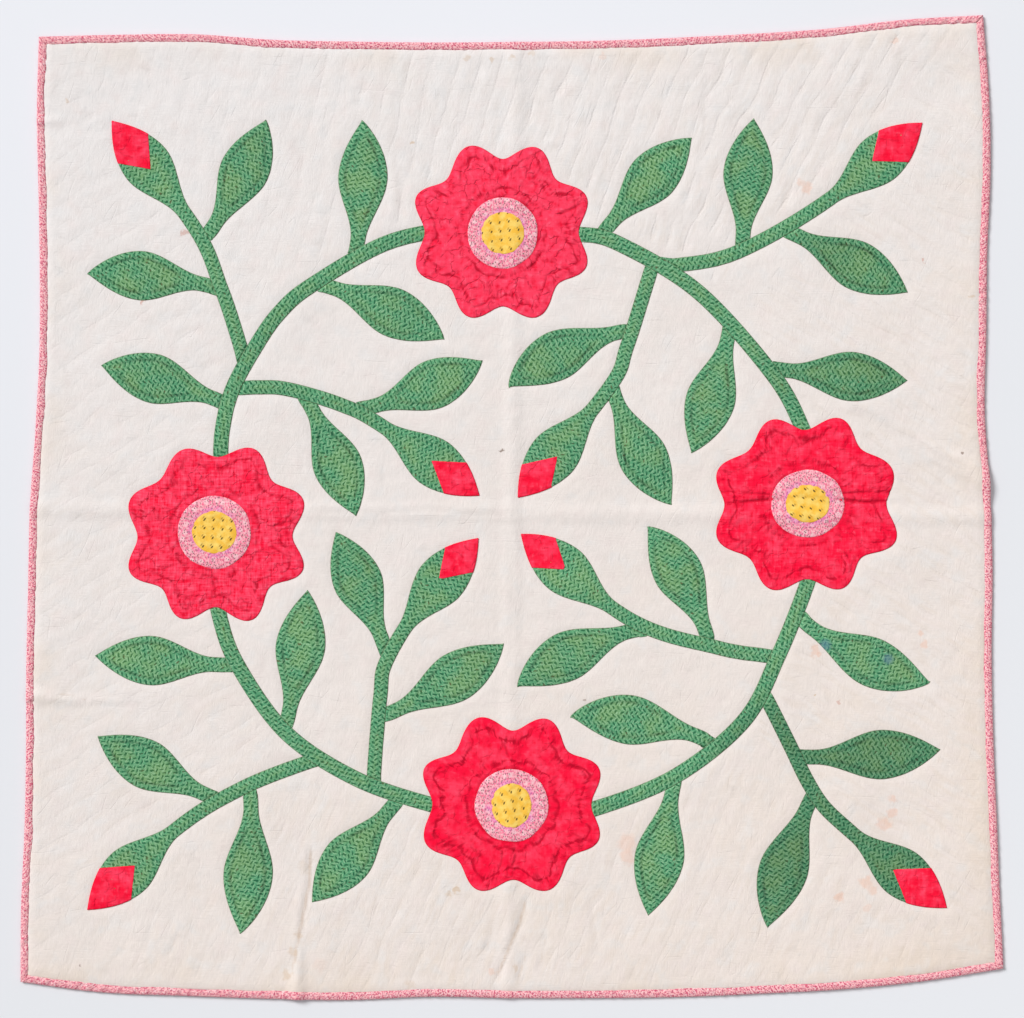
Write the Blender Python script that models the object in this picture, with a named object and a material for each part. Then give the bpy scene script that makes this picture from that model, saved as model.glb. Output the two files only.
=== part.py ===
# Applique crib quilt: a padded white ground quilted in slanting rows, a printed binding in
# four strips round its edge, and a wreath of four roses, vines, budded branches and leaves.
# It lies face up on its back. X runs to the quilt's right, Y to its top edge, Z up.

import math

import bmesh
import bpy
import numpy as np
from mathutils.geometry import delaunay_2d_cdt

MM = 0.001
CM = 0.01

# Cloth thicknesses and the space left between pieces
GAP = 0.3 * MM
PATCH = 1.0 * MM
PADDED = 4.0 * MM
SEAM_HEIGHT = 3.4 * MM
BINDING_CLOTH = 0.9 * MM
BINDING_WIDTH = 7.5 * MM
BINDING_ROUND = 0.9 * MM
ROLL_WIDTH = 7.0 * MM

# Quilting
ROW_PITCH = 19.5 * MM
ROW_DEPTH = 1.0 * MM
ROW_SHOULDER = 0.28
ROW_TAPER = 8.0 * MM
ROW_MARGIN = 4.0 * MM
SHORTEST_ROW = 25.0 * MM
ECHO_DEPTH = 0.45 * MM
LEAF_ECHO_INSET = 6.9 * MM
ROSE_ECHO_INSET = 11.8 * MM

# One template serves every leaf and every bud
LEAF_HALF_WIDTH = 24.2 * MM
LEAF_WIDEST_AT = 0.57
LEAF_SWELLS_FROM = 0.10
LEAF_TIP_POWER = 1.9
BUD_LENGTH = 127.0 * MM
PETIOLE_HALF_WIDTH = 7.3 * MM
LEAF_FOOT = 6.0 * MM
BRANCH_HALF_WIDTH = 7.0 * MM
VINE_HALF_WIDTH = 7.5 * MM

# Roses: eight scallops, a printed disc and a yellow centre
SCALLOPS = 8
SCALLOP_DEPTH = 7.8 * MM

WREATH_CENTRE = (-0.1 * CM, -1.1 * CM)
WREATH_RADIUS = 30.5 * CM
STATIONS_PER_SIDE = 26

# How finely the curves are cut
CURVE_POINTS = 161
VINE_STATIONS = 15
STEM_STATIONS = 8
BLADE_STATIONS = (0.12, 0.24, 0.34, 0.44, 0.57, 0.70, 0.80, 0.89, 0.96)
ECHO_STATIONS = (0.30, 0.42, 0.57, 0.72, 0.84)
ECHO_ENDS = (0.20, 0.93)
CROWN_STATIONS = (0.40, 0.58, 0.76)
ROSE_POINTS = 64
DISC_POINTS = 28
DISC_CREST = 2.0 * MM
DISC_ECHO = 10.0 * MM
PETAL_CREST = 22.0 * MM
CAP_POINTS = 7
CLOSE_STATION = 2.0 * MM
LEAF_BEND_POWER = 0.6
FOOT_POINTS = 9
BISECTIONS = 24
CLOSEST = 1e-7
CORNER_EASE = 0.75
SHARP_ANGLE = 35

CORNERS_CM = {
    "top_left": (-46.4, 46.2),
    "top_right": (46.2, 48.3),
    "bottom_right": (48.2, -45.2),
    "bottom_left": (-48.2, -46.5),
}

# Each side clockwise: its two corners, the slant of its quilting rows in degrees, and how far it
# bows outward from a straight line at even steps, in millimetres
SIDES = {
    "top": ("top_left", "top_right", 66,
            (0, 0, -1.3, -8.5, -11.9, -14.5, -15.8, -16.5, -15.4, -13.2, -9.9, -2.7, 0)),
    "right": ("top_right", "bottom_right", -30,
              (0, 4.2, 4.0, -0.9, -3.4, -6.6, -3.0, -2.3, -4.9, -5.1, -3.6, -2.0, 0)),
    "bottom": ("bottom_right", "bottom_left", 66,
               (0, 11.5, 18.3, 21.5, 23.7, 23.6, 22.5, 20.0, 22.3, 19.8, 15.9, 11.5, 0)),
    "left": ("bottom_left", "top_left", 32,
             (0, 0.8, -1.1, -1.0, 0.3, 0.1, -0.2, -4.0, -6.5, -5.4, -2.7, 0.4, 0)),
}

# Storage folds run edge to edge: a point on the ridge in cm, bearing, rise and half width in mm
STORAGE_FOLDS = (
    ("across", (0.0, -0.5), -0.5, 1.2, 13.0),
    ("down", (0.0, 0.0), 89.5, 1.0, 13.0),
)

# Soft folds open from an inner point towards an edge: inner point and end in cm, then the rise
# and the half width at the end in mm
SOFT_FOLDS = (
    ("right", (32.8, 9.9), (46.6, 2.7), 4.0, 20.0),
    ("bottom", (-20.8, -36.5), (-21.1, -48.0), 2.5, 13.0),
    ("left", (-35.5, -19.3), (-47.6, -18.4), 2.0, 12.0),
    ("corner", (-40.4, 38.1), (-46.6, 37.9), 1.5, 8.0),
)

# Hand cut, so none is quite round. Centre of the rose in cm and its half width and half height in
# mm, then the same for its printed disc, then the yellow centre's half width and half height
ROSES = {
    "top": ((-1.0, 27.0), (83.0, 81.8), (-0.9, 26.9), (34.5, 35.0), (21.4, 21.0)),
    "left": ((-29.0, -2.6), (84.4, 82.2), (-29.15, -2.4), (36.2, 35.8), (22.2, 21.0)),
    "right": ((28.75, 0.35), (86.6, 81.8), (28.95, 0.4), (36.2, 33.2), (22.0, 18.8)),
    "bottom": ((0.0, -29.1), (85.4, 82.6), (-0.05, -29.15), (36.2, 35.8), (20.0, 22.2)),
}

# The two roses that a vine joins, and the points it passes, in cm
VINES = {
    "nw": ("left", "top", ((-28.6, 3.0), (-28.4, 7.5), (-27.4, 11.6), (-25.0, 16.0),
                           (-22.8, 19.1), (-19.8, 21.7), (-12.4, 25.9), (-5.0, 27.6))),
    "ne": ("top", "right", ((3.0, 26.8), (6.5, 26.8), (10.4, 25.9), (18.3, 21.1), (25.6, 13.0),
                            (28.5, 7.7), (29.6, 4.0))),
    "se": ("right", "bottom", ((29.8, -4.0), (28.9, -7.5), (26.1, -14.5), (22.7, -20.9),
                               (16.0, -26.3), (8.1, -29.5), (4.0, -30.1))),
    "sw": ("left", "bottom", ((-29.1, -7.0), (-28.7, -10.5), (-26.9, -15.4), (-22.1, -22.1),
                              (-15.2, -26.6), (-7.9, -29.1), (-4.0, -29.8))),
}

# Each branch leaves its quarter's vine, and its last point is the tip of its bud, in cm
BRANCHES = {
    "nw_outer": ((-26.2, 14.0), (-26.8, 16.4), (-28.5, 21.5), (-31.2, 27.6), (-39.2, 37.9)),
    "nw_inner": ((-27.0, 11.7), (-24.8, 11.8), (-21.9, 11.6), (-16.8, 10.1), (-12.7, 8.0),
                 (-3.2, 1.2)),
    "ne_outer": ((14.4, 24.0), (16.4, 23.8), (22.2, 25.1), (30.9, 30.1), (40.2, 37.7)),
    "ne_inner": ((14.2, 24.6), (13.6, 23.2), (11.3, 15.9), (9.4, 11.6), (0.6, 1.0)),
    "se_outer": ((24.6, -18.2), (25.2, -19.2), (27.3, -23.4), (28.9, -26.7), (30.5, -29.2),
                 (32.8, -31.4), (35.8, -33.9), (42.6, -39.2)),
    "se_inner": ((26.6, -14.8), (24.8, -14.5), (20.1, -13.7), (11.5, -10.9), (0.9, -2.6)),
    "sw_outer": ((-18.6, -24.7), (-20.2, -25.0), (-26.5, -27.5), (-32.8, -31.4), (-41.6, -39.4)),
    "sw_inner": ((-13.5, -27.0), (-13.5, -25.6), (-12.9, -18.4), (-12.3, -15.0), (-8.9, -9.5),
                 (-3.3, -3.0)),
}

# Quarter, number, what the leaf grows from, foot in cm, bearing in degrees, length in mm, and
# how far it bends to the right of its bearing in mm
LEAVES = (
    ("nw", 1, "outer", (-29.8, 26.9), 63, 125, 4),
    ("nw", 2, "outer", (-29.3, 21.6), 174, 124, 4),
    ("nw", 3, "vine", (-15.4, 24.9), 87, 131, 4),
    ("nw", 4, "vine", (-18.6, 21.8), -24, 131, -4),
    ("nw", 5, "vine", (-28.4, 10.3), 163, 124, 3),
    ("nw", 6, "inner", (-14.4, 9.8), 22, 124, 4),
    ("nw", 7, "inner", (-20.1, 10.5), -67, 123, -3),
    ("ne", 1, "outer", (22.6, 25.6), 85, 126, -1),
    ("ne", 2, "outer", (27.2, 27.0), -27, 130, -1),
    ("ne", 3, "vine", (9.1, 27.1), 47, 125, -2),
    ("ne", 4, "vine", (21.3, 17.6), -107, 128, -3),
    ("ne", 5, "vine", (25.9, 13.6), -5, 129, 1),
    ("ne", 6, "inner", (11.4, 17.2), -155, 129, 9),
    ("ne", 7, "inner", (9.9, 11.6), -63, 127, 4),
    ("se", 1, "outer", (28.4, -24.4), 3, 136, 2),
    ("se", 2, "outer", (29.5, -28.3), -109, 136, 4),
    ("se", 3, "vine", (28.6, -11.0), -26, 138, 8),
    ("se", 4, "vine", (15.9, -26.8), -101, 134, 0),
    ("se", 5, "vine", (19.0, -22.9), 170, 135, 8),
    ("se", 6, "inner", (19.1, -12.9), 118, 125, 6),
    ("se", 7, "inner", (12.5, -12.0), -155, 132, 7),
    ("sw", 1, "outer", (-29.3, -28.4), 152, 128, -2),
    ("sw", 2, "outer", (-25.7, -28.0), -94, 138, -4),
    ("sw", 3, "vine", (-28.0, -15.4), 176, 129, -1),
    ("sw", 4, "vine", (-11.5, -29.0), -130, 126, 0),
    ("sw", 5, "vine", (-22.1, -21.0), 81, 131, 2),
    ("sw", 6, "inner", (-12.5, -13.6), 113, 122, 1),
    ("sw", 7, "inner", (-12.3, -20.2), 31, 134, 4),
)

# Base colour (linear), roughness
CLOTHS = {
    "white_cotton": ((0.80, 0.77, 0.73), 0.90),
    "pink_print": ((0.84, 0.36, 0.42), 0.85),
    "green_print": ((0.07, 0.26, 0.12), 0.85),
    "red_cotton": ((0.80, 0.03, 0.07), 0.80),
    "rose_disc_print": ((0.86, 0.48, 0.60), 0.85),
    "yellow_print": ((0.88, 0.60, 0.10), 0.85),
}


def unit(vector):
    return vector / np.linalg.norm(vector)


def bearing_vector(degrees):
    return np.array((math.cos(math.radians(degrees)), math.sin(math.radians(degrees))))


def right_of(direction):
    return np.array((direction[1], -direction[0]))


def smooth_curve(points, count):
    """Catmull-Rom curve through the points, read at even steps of its parameter."""
    points = np.asarray(points, float)
    padded = np.vstack((2 * points[0] - points[1], points, 2 * points[-1] - points[-2]))
    where = np.linspace(0, len(points) - 1, count)
    span = np.minimum(where.astype(int), len(points) - 2)
    t = (where - span)[:, None]
    before, start, end, after = (padded[span + k] for k in range(4))
    return 0.5 * (2 * start + (end - before) * t
                  + (2 * before - 5 * start + 4 * end - after) * t ** 2
                  + (3 * start - before - 3 * end + after) * t ** 3)


def oval_loop(centre, halves, extra, angles):
    """Closed loop round a centre: the oval with these half width and height, plus an amount that
    is one for all or one for each angle."""
    round_it = np.column_stack((np.cos(angles), np.sin(angles)))
    return centre + round_it * (halves + np.reshape(extra, (-1, 1)))


def even_angles(count):
    return np.arange(count) * 2 * math.pi / count


def clearance(point, loop):
    """Distance from a point to a closed loop, negative inside it."""
    ahead = np.roll(loop, -1, axis=0)
    along = ahead - loop
    t = np.clip(np.sum((point - loop) * along, axis=1) / np.sum(along ** 2, axis=1), 0, 1)
    nearest = np.min(np.linalg.norm(loop + along * t[:, None] - point, axis=1))
    spans = (loop[:, 1] > point[1]) != (ahead[:, 1] > point[1])
    start, step = loop[spans], along[spans]
    crossing = start[:, 0] + (point[1] - start[:, 1]) * step[:, 0] / step[:, 1]
    within = np.count_nonzero(crossing > point[0]) % 2 == 1
    return -nearest if within else nearest


# Folds lift the cloth in straight-sided ridges, so it is flat between one crease line and the next

def fold_lines():
    """Every crease line: its start, or None where it runs edge to edge, a point and a direction."""
    lines = []
    for _, point, bearing, _, half_width in STORAGE_FOLDS:
        direction = bearing_vector(bearing)
        for side in (-1, 0, 1):
            foot = np.array(point) * CM + right_of(direction) * side * half_width * MM
            lines.append((None, foot, direction))
    for _, tip, end, _, half_width in SOFT_FOLDS:
        tip, end = np.array(tip) * CM, np.array(end) * CM
        for side in (-1, 0, 1):
            target = end + right_of(unit(end - tip)) * side * half_width * MM
            lines.append((tip, tip, unit(target - tip)))
    return lines


def fold_rise(points):
    """Height of the cloth's underside above where it lies flat."""
    rise = np.zeros(len(points))
    for _, point, bearing, height, half_width in STORAGE_FOLDS:
        across = np.abs((points - np.array(point) * CM) @ right_of(bearing_vector(bearing)))
        rise += height * MM * np.maximum(0, 1 - across / (half_width * MM))
    for _, tip, end, height, half_width in SOFT_FOLDS:
        tip, end = np.array(tip) * CM, np.array(end) * CM
        reach, direction = np.linalg.norm(end - tip), unit(end - tip)
        across = np.abs((points - tip) @ right_of(direction))
        along = (points - tip) @ direction
        rise += height * MM / reach * np.maximum(0, along - across * reach / (half_width * MM))
    return rise


def line_crossings(loop, point, direction):
    """Where a line crosses a loop: (place along the line, edge number, fraction of the edge)."""
    side = (loop - point) @ right_of(direction)
    ahead = np.roll(side, -1)
    edges = np.nonzero((side > 0) != (ahead > 0))[0]
    fractions = side[edges] / (side[edges] - ahead[edges])
    here = between(loop, edges, fractions)
    return sorted(zip((here - point) @ direction, edges, fractions))


def between(values, edges, fractions):
    ahead = np.roll(values, -1, axis=0)[edges]
    return values[edges] + (ahead - values[edges]) * np.reshape(fractions, (-1, 1))


def meet_folds(loops):
    """The points to add to each loop where crease lines cross it, as (edges, fractions), and the
    stretches of crease line that lie on the cloth that the loops enclose."""
    added, chords = [[] for _ in loops], []
    for start, point, direction in FOLD_LINES:
        stops = []
        for number, loop in enumerate(loops):
            for along, edge, fraction in line_crossings(loop, point, direction):
                if start is None or along > 0:
                    added[number].append((edge, fraction))
                    stops.append(along)
        stops.sort()
        if len(stops) % 2:
            stops.insert(0, 0.0)
        ends = [point + direction * along for along in stops]
        chords += list(zip(ends[::2], ends[1::2]))
    places = []
    for found in added:
        found.sort()
        places.append((np.array([e for e, _ in found], int), np.array([f for _, f in found])))
    return places, chords


def with_points(values, place):
    """A loop, or what is stored for each of its points, with those of meet_folds added."""
    edges, fractions = place
    if not len(edges):
        return values
    return np.insert(values, edges + 1, between(values, edges, fractions), axis=0)


# Meshes

def triangulate(loops, lines):
    """Triangles of the area inside the first loop and outside the rest, with edges along the
    lines, which are (points, depths). Returns points, depths, triangles and, for each loop, the
    numbers of its points."""
    points = [tuple(p) for loop in loops for p in loop]
    areas, first = [], 0
    for loop in loops:
        areas.append(list(range(first, first + len(loop))))
        first += len(loop)
    edges, edge_depths = [], []
    for line, depths in lines:
        first = len(points)
        points += [tuple(p) for p in line]
        edges += [(first + k, first + k + 1) for k in range(len(line) - 1)]
        edge_depths += list(zip(depths[:-1], depths[1:]))
    made = delaunay_2d_cdt(points, edges, areas, 0, CLOSEST)
    flat, made_edges, made_faces, point_origins, edge_origins, face_origins = made
    flat = np.array([tuple(p) for p in flat])
    depth = np.zeros(len(flat))
    for ends, origins in zip(made_edges, edge_origins):
        for origin in origins:
            if origin < len(edges):
                start, stop = (np.array(points[k]) for k in edges[origin])
                for end in ends:
                    t = (flat[end] - start) @ (stop - start) / np.sum((stop - start) ** 2)
                    low, high = edge_depths[origin]
                    depth[end] = max(depth[end], low + (high - low) * t)
    faces = [face for face, origins in zip(made_faces, face_origins) if list(origins) == [0]]
    number = {origin: k for k, origins in enumerate(point_origins) for origin in origins}
    used = sorted({k for face in faces for k in face})
    renumber = {k: n for n, k in enumerate(used)}
    faces = [tuple(renumber[k] for k in face) for face in faces]
    rims = [[renumber[number[k]] for k in area] for area in areas]
    return flat[used], depth[used], faces, rims


def strip_faces(lower, upper):
    """Quads between two closed rings of point numbers."""
    return [(lower[k - 1], lower[k], upper[k], upper[k - 1]) for k in range(len(lower))]


def add_object(name, vertices, faces, cloth):
    mesh = bpy.data.meshes.new(name)
    mesh.from_pydata([tuple(v) for v in vertices], [], faces)
    shape = bmesh.new()
    shape.from_mesh(mesh)
    bmesh.ops.recalc_face_normals(shape, faces=shape.faces)
    shape.to_mesh(mesh)
    shape.free()
    mesh.shade_smooth()
    mesh.set_sharp_from_angle(angle=math.radians(SHARP_ANGLE))
    mesh.materials.append(cloth_material(cloth))
    bpy.context.scene.collection.objects.link(bpy.data.objects.new(name, mesh))


def cloth_material(name):
    material = bpy.data.materials.get(name)
    if material is None:
        colour, roughness = CLOTHS[name]
        material = bpy.data.materials.new(name)
        material.use_nodes = True
        shader = material.node_tree.nodes["Principled BSDF"]
        shader.inputs["Base Color"].default_value = (*colour, 1.0)
        shader.inputs["Roughness"].default_value = roughness
        shader.inputs["Metallic"].default_value = 0.0
    return material


def add_patch(name, loops, grooves, base, cloth):
    """A flat piece of cloth sewn on at a height, with its quilting grooves, lying over the folds."""
    places, chords = meet_folds(loops)
    loops = [with_points(loop, place) for loop, place in zip(loops, places)]
    folds = [(chord, (0, 0)) for chord in chords]
    top, depth, top_faces, top_rims = triangulate(loops, grooves + folds)
    low, _, low_faces, low_rims = triangulate(loops, folds)
    vertices = np.vstack((np.column_stack((top, base + PATCH + fold_rise(top) - depth)),
                          np.column_stack((low, base + fold_rise(low)))))
    shift = len(top)
    faces = top_faces + [tuple(k + shift for k in reversed(face)) for face in low_faces]
    for top_rim, low_rim in zip(top_rims, low_rims):
        faces += strip_faces([k + shift for k in low_rim], top_rim)
    add_object(name, vertices, faces, cloth)


# The ground and its binding

def outline_stations():
    """The quilt's edge, clockwise from the top left corner, and the inward mitre at each point."""
    edge = []
    for start, end, _, bows in SIDES.values():
        start, end = np.array(CORNERS_CM[start]) * CM, np.array(CORNERS_CM[end]) * CM
        bow = smooth_curve(np.reshape(bows, (-1, 1)), STATIONS_PER_SIDE + 1)[:-1] * MM
        along = np.arange(STATIONS_PER_SIDE)[:, None] / STATIONS_PER_SIDE
        edge.append(start + (end - start) * along - right_of(unit(end - start)) * bow)
    edge = np.vstack(edge)
    step = np.roll(edge, -1, axis=0) - edge
    normal = np.column_stack((step[:, 1], -step[:, 0])) / np.linalg.norm(step, axis=1)[:, None]
    before = np.roll(normal, 1, axis=0)
    mitre = (normal + before) / (1 + np.sum(normal * before, axis=1))[:, None]
    return edge, mitre


def rows_on(zone, bearing, offset):
    """Stretches of one slanting line on a side's share of the ground, outside the wreath."""
    direction = bearing_vector(bearing)
    point = right_of(direction) * offset
    stops = [along for along, _, _ in line_crossings(zone, point, direction)]
    towards = np.array(WREATH_CENTRE) - point
    middle, miss = towards @ direction, towards @ right_of(direction)
    half = math.sqrt(max(0.0, WREATH_RADIUS ** 2 - miss ** 2))
    stretches = []
    for start, end in zip(stops[::2], stops[1::2]):
        start, end = start + ROW_MARGIN, end - ROW_MARGIN
        parts = [(start, end)]
        if half > 0:
            parts = [(start, min(end, middle - half)), (max(start, middle + half), end)]
        stretches += [part for part in parts if part[1] - part[0] > SHORTEST_ROW]
    return [(point + direction * start, point + direction * end) for start, end in stretches]


def quilting_rows(edge, mitre):
    """The slanting rows as (points, depths): a valley between two shoulders for each row."""
    roll = edge + mitre * (BINDING_WIDTH + GAP + ROLL_WIDTH)
    lines = []
    for number, (_, _, bearing, _) in enumerate(SIDES.values()):
        first = number * STATIONS_PER_SIDE
        share = np.arange(first, first + STATIONS_PER_SIDE + 1) % len(roll)
        zone = np.vstack((np.array(WREATH_CENTRE), roll[share]))
        reach = int(np.max(np.abs(roll)) * math.sqrt(2) / ROW_PITCH)
        for row in range(-reach, reach + 1):
            for start, end in rows_on(zone, bearing, row * ROW_PITCH):
                taper = unit(end - start) * ROW_TAPER
                lines.append(((start, start + taper, end - taper, end), (0, ROW_DEPTH, ROW_DEPTH, 0)))
            for shoulder in (-ROW_SHOULDER, ROW_SHOULDER):
                for stretch in rows_on(zone, bearing, (row + shoulder) * ROW_PITCH):
                    lines.append((stretch, (0, 0)))
    return lines


def add_ground(edge, mitre, rows):
    """The padded ground: full height inside, drawn down beside the binding, and a thin margin
    that the binding takes between its two layers."""
    seam = edge + mitre * (BINDING_WIDTH + GAP)
    places, chords = meet_folds([seam])
    edge, mitre, seam = (with_points(values, places[0]) for values in (edge, mitre, seam))
    roll = edge + mitre * (BINDING_WIDTH + GAP + ROLL_WIDTH)
    margin = edge + mitre * (BINDING_CLOTH + GAP)
    rise = fold_rise(seam)
    folds = [(chord, (0, 0)) for chord in chords]
    closed_roll = np.vstack((roll, roll[:1]))
    rolled = [(closed_roll, np.zeros(len(closed_roll)))]
    top, depth, top_faces, (top_rim,) = triangulate([seam[::-1]], rows + folds + rolled)
    low, _, low_faces, (low_rim,) = triangulate([seam[::-1]], folds)
    height = np.full(len(top), PADDED)
    height[top_rim] = SEAM_HEIGHT
    vertices = [np.column_stack((top, height + fold_rise(top) - depth)),
                np.column_stack((low, fold_rise(low)))]
    faces = top_faces + [tuple(k + len(top) for k in reversed(face)) for face in low_faces]
    rings = [[k + len(top) for k in reversed(low_rim)]]
    first = len(top) + len(low)
    under, over = BINDING_CLOTH + GAP, PADDED - BINDING_CLOTH - GAP
    for loop, level in ((seam, under), (margin, under), (margin, over), (seam, over)):
        vertices.append(np.column_stack((loop, level + rise)))
        rings.append(list(range(first, first + len(loop))))
        first += len(loop)
    rings.append(top_rim[::-1])
    for lower, upper in zip(rings[:-1], rings[1:]):
        faces += strip_faces(lower, upper)
    add_object("quilted_ground", np.vstack(vertices), faces, "white_cotton")
    return edge, mitre, rise


def binding_section():
    """Cross-section of the binding: (distance in from the quilt's edge, height)."""
    inner, outer, turn = BINDING_WIDTH, BINDING_CLOTH, BINDING_ROUND
    return ((inner, 0), (turn, 0), (0, turn), (0, PADDED - turn), (turn, PADDED), (inner, PADDED),
            (inner, PADDED - outer), (outer, PADDED - outer), (outer, outer), (inner, outer))


def add_binding(name, edge, mitre, rise):
    """One strip of binding, cut on the mitre at both corners."""
    shift = np.zeros_like(edge)
    shift[0] = unit(edge[1] - edge[0]) * GAP * CORNER_EASE
    shift[-1] = unit(edge[-2] - edge[-1]) * GAP * CORNER_EASE
    section = binding_section()
    vertices = [np.column_stack((edge + mitre * inward + shift, height + rise))
                for inward, height in section]
    count = len(edge)
    faces = []
    for k in range(len(section)):
        here, there = k * count, (k + 1) % len(section) * count
        faces += [(here + s, here + s + 1, there + s + 1, there + s) for s in range(count - 1)]
    half = len(section) // 2
    for end in (0, count - 1):
        for k in range(half - 1):
            lower, upper = k, len(section) - 1 - k
            faces.append([j * count + end for j in (lower, lower + 1, upper - 1, upper)])
    add_object(name, np.vstack(vertices), faces, "pink_print")


def add_ground_and_binding():
    edge, mitre = outline_stations()
    rows = quilting_rows(edge, mitre)
    corners = [edge[number * STATIONS_PER_SIDE] for number in range(len(SIDES))]
    edge, mitre, rise = add_ground(edge, mitre, rows)
    starts = [int(np.argmin(np.linalg.norm(edge - corner, axis=1))) for corner in corners]
    starts.append(len(edge))
    for number, side in enumerate(SIDES):
        share = np.arange(starts[number], starts[number + 1] + 1) % len(edge)
        add_binding("binding_" + side, edge[share], mitre[share], rise[share])


# Patches

def template_half_width(t, petiole):
    """Half width of a leaf or bud from its foot, t = 0, to its tip, t = 1."""
    swell = np.clip((t - LEAF_SWELLS_FROM) / (LEAF_WIDEST_AT - LEAF_SWELLS_FROM), 0, 1)
    swell = petiole + (LEAF_HALF_WIDTH - petiole) * swell ** 2 * (3 - 2 * swell)
    taper = np.clip((t - LEAF_WIDEST_AT) / (1 - LEAF_WIDEST_AT), 0, 1)
    return np.where(t < LEAF_WIDEST_AT, swell, LEAF_HALF_WIDTH * (1 - taper ** LEAF_TIP_POWER))


class Strip:
    """A patch along a centre line, with a half width at each of its points."""

    def __init__(self, centre, half_width):
        self.centre, self.half_width = centre, half_width
        step = np.gradient(centre, axis=0)
        self.right = np.column_stack((step[:, 1], -step[:, 0])) / np.linalg.norm(step, axis=1)[:, None]
        steps = np.linalg.norm(np.diff(centre, axis=0), axis=1)
        self.length_to = np.concatenate(((0.0,), np.cumsum(steps)))
        self.length = self.length_to[-1]

    def at(self, length, across):
        """Points at some lengths along, across from -1 on the left edge to 1 on the right."""
        values = np.column_stack((self.centre, self.right, self.half_width))
        read = [np.interp(length, self.length_to, column) for column in values.T]
        return np.column_stack((read[0] + read[2] * read[4] * across, read[1] + read[3] * read[4] * across))

    def first_clear(self, across, carrier, from_end):
        """Length at which a line along the strip comes clear of the piece that carries its end,
        sought from the strip's middle back towards that end."""
        def length_of(k):
            return self.length_to[-1 - k] if from_end else self.length_to[k]

        def clear(length):
            return clearance(self.at(length, across)[0], carrier) >= GAP

        k = len(self.length_to) // 2
        while k > 0 and clear(length_of(k)):
            k -= 1
        near, far = length_of(k), length_of(k + 1)
        if clear(near):
            return near
        for _ in range(BISECTIONS):
            middle = 0.5 * (near + far)
            near, far = (near, middle) if clear(middle) else (middle, far)
        return far

    def outline(self, lengths, start_carrier, end_carrier=None):
        """Closed loop, counter-clockwise, trimmed clear of what carries its ends."""
        cap = np.linspace(-1, 1, CAP_POINTS)
        starts = [self.first_clear(across, start_carrier, False) for across in cap]
        if end_carrier is None:
            ends = [self.length] * CAP_POINTS
        else:
            ends = [self.first_clear(across, end_carrier, True) for across in cap]
        sides = []
        for across, start, end in ((1, starts[-1], ends[-1]), (-1, starts[0], ends[0])):
            inner = lengths[(lengths > start + CLOSE_STATION) & (lengths < end - CLOSE_STATION)]
            sides.append(self.at(np.concatenate(((start,), inner, (end,))), across))
        right, left = sides
        start_cap = self.at(np.array(starts[1:-1]), cap[1:-1])
        end_cap = self.at(np.array(ends[1:-1]), cap[1:-1])
        if end_carrier is None:
            return np.vstack((right[:-1], self.at(self.length, 0), left[-2::-1], start_cap))
        return np.vstack((right, end_cap[::-1], left[::-1], start_cap))


def blade_grooves(strip, foot):
    """Echo quilting inside a leaf or bud whose template starts at the length foot, and its crown."""
    blade = strip.length - foot
    along = np.array(ECHO_STATIONS)
    half_width = np.interp(foot + along * blade, strip.length_to, strip.half_width)
    across = np.maximum(0, 1 - LEAF_ECHO_INSET / half_width)
    right = strip.at(foot + along * blade, across)
    left = strip.at(foot + along * blade, -across)
    ends = strip.at(foot + np.array(ECHO_ENDS) * blade, 0)
    loop = np.vstack((ends[:1], right, ends[1:], left[::-1], ends[:1]))
    crown = strip.at(foot + np.array(CROWN_STATIONS) * blade, 0)
    return [(loop, np.full(len(loop), ECHO_DEPTH)), (crown, np.zeros(len(crown)))]


def rose_loop(centre, halves, inset, count):
    angles = even_angles(count)
    return oval_loop(centre, halves, -inset - SCALLOP_DEPTH * np.cos(SCALLOPS * angles), angles)


def add_roses(base):
    """Each rose with its disc and centre stacked on it. Returns the roses' outlines."""
    outlines = {}
    round_angles = even_angles(DISC_POINTS)
    for name, (middle, size, disc_middle, disc_size, yellow_size) in ROSES.items():
        middle, disc_middle = np.array(middle) * CM, np.array(disc_middle) * CM
        size, disc_size, yellow_size = (np.array(s) * MM for s in (size, disc_size, yellow_size))
        outlines[name] = rose_loop(middle, size, 0, ROSE_POINTS)
        grooves = [(rose_loop(middle, size, ROSE_ECHO_INSET, ROSE_POINTS // 2), ECHO_DEPTH)]
        for extra, depth in ((DISC_CREST, 0), (DISC_ECHO, ECHO_DEPTH), (PETAL_CREST, 0)):
            grooves.append((oval_loop(disc_middle, disc_size, extra, round_angles), depth))
        grooves = [(np.vstack((loop, loop[:1])), np.full(len(loop) + 1, depth))
                   for loop, depth in grooves]
        add_patch("rose_" + name, [outlines[name]], grooves, base, "red_cotton")
        for kind, halves, cloth, level in (("disc", disc_size, "rose_disc_print", 1),
                                           ("centre", yellow_size, "yellow_print", 2)):
            loop = oval_loop(disc_middle, halves, 0, round_angles)
            height = base + level * (PATCH + GAP)
            add_patch("rose_%s_%s" % (kind, name), [loop], [], height, cloth)
    return outlines


def add_vines(base, roses):
    outlines = {}
    for quarter, (start, end, points) in VINES.items():
        centre = smooth_curve(np.array(points) * CM, CURVE_POINTS)
        strip = Strip(centre, np.full(len(centre), VINE_HALF_WIDTH))
        lengths = np.linspace(0, strip.length, VINE_STATIONS)
        outlines[quarter] = strip.outline(lengths, roses[start], roses[end])
        add_patch("vine_" + quarter, [outlines[quarter]], [], base, "green_print")
    return outlines


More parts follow.
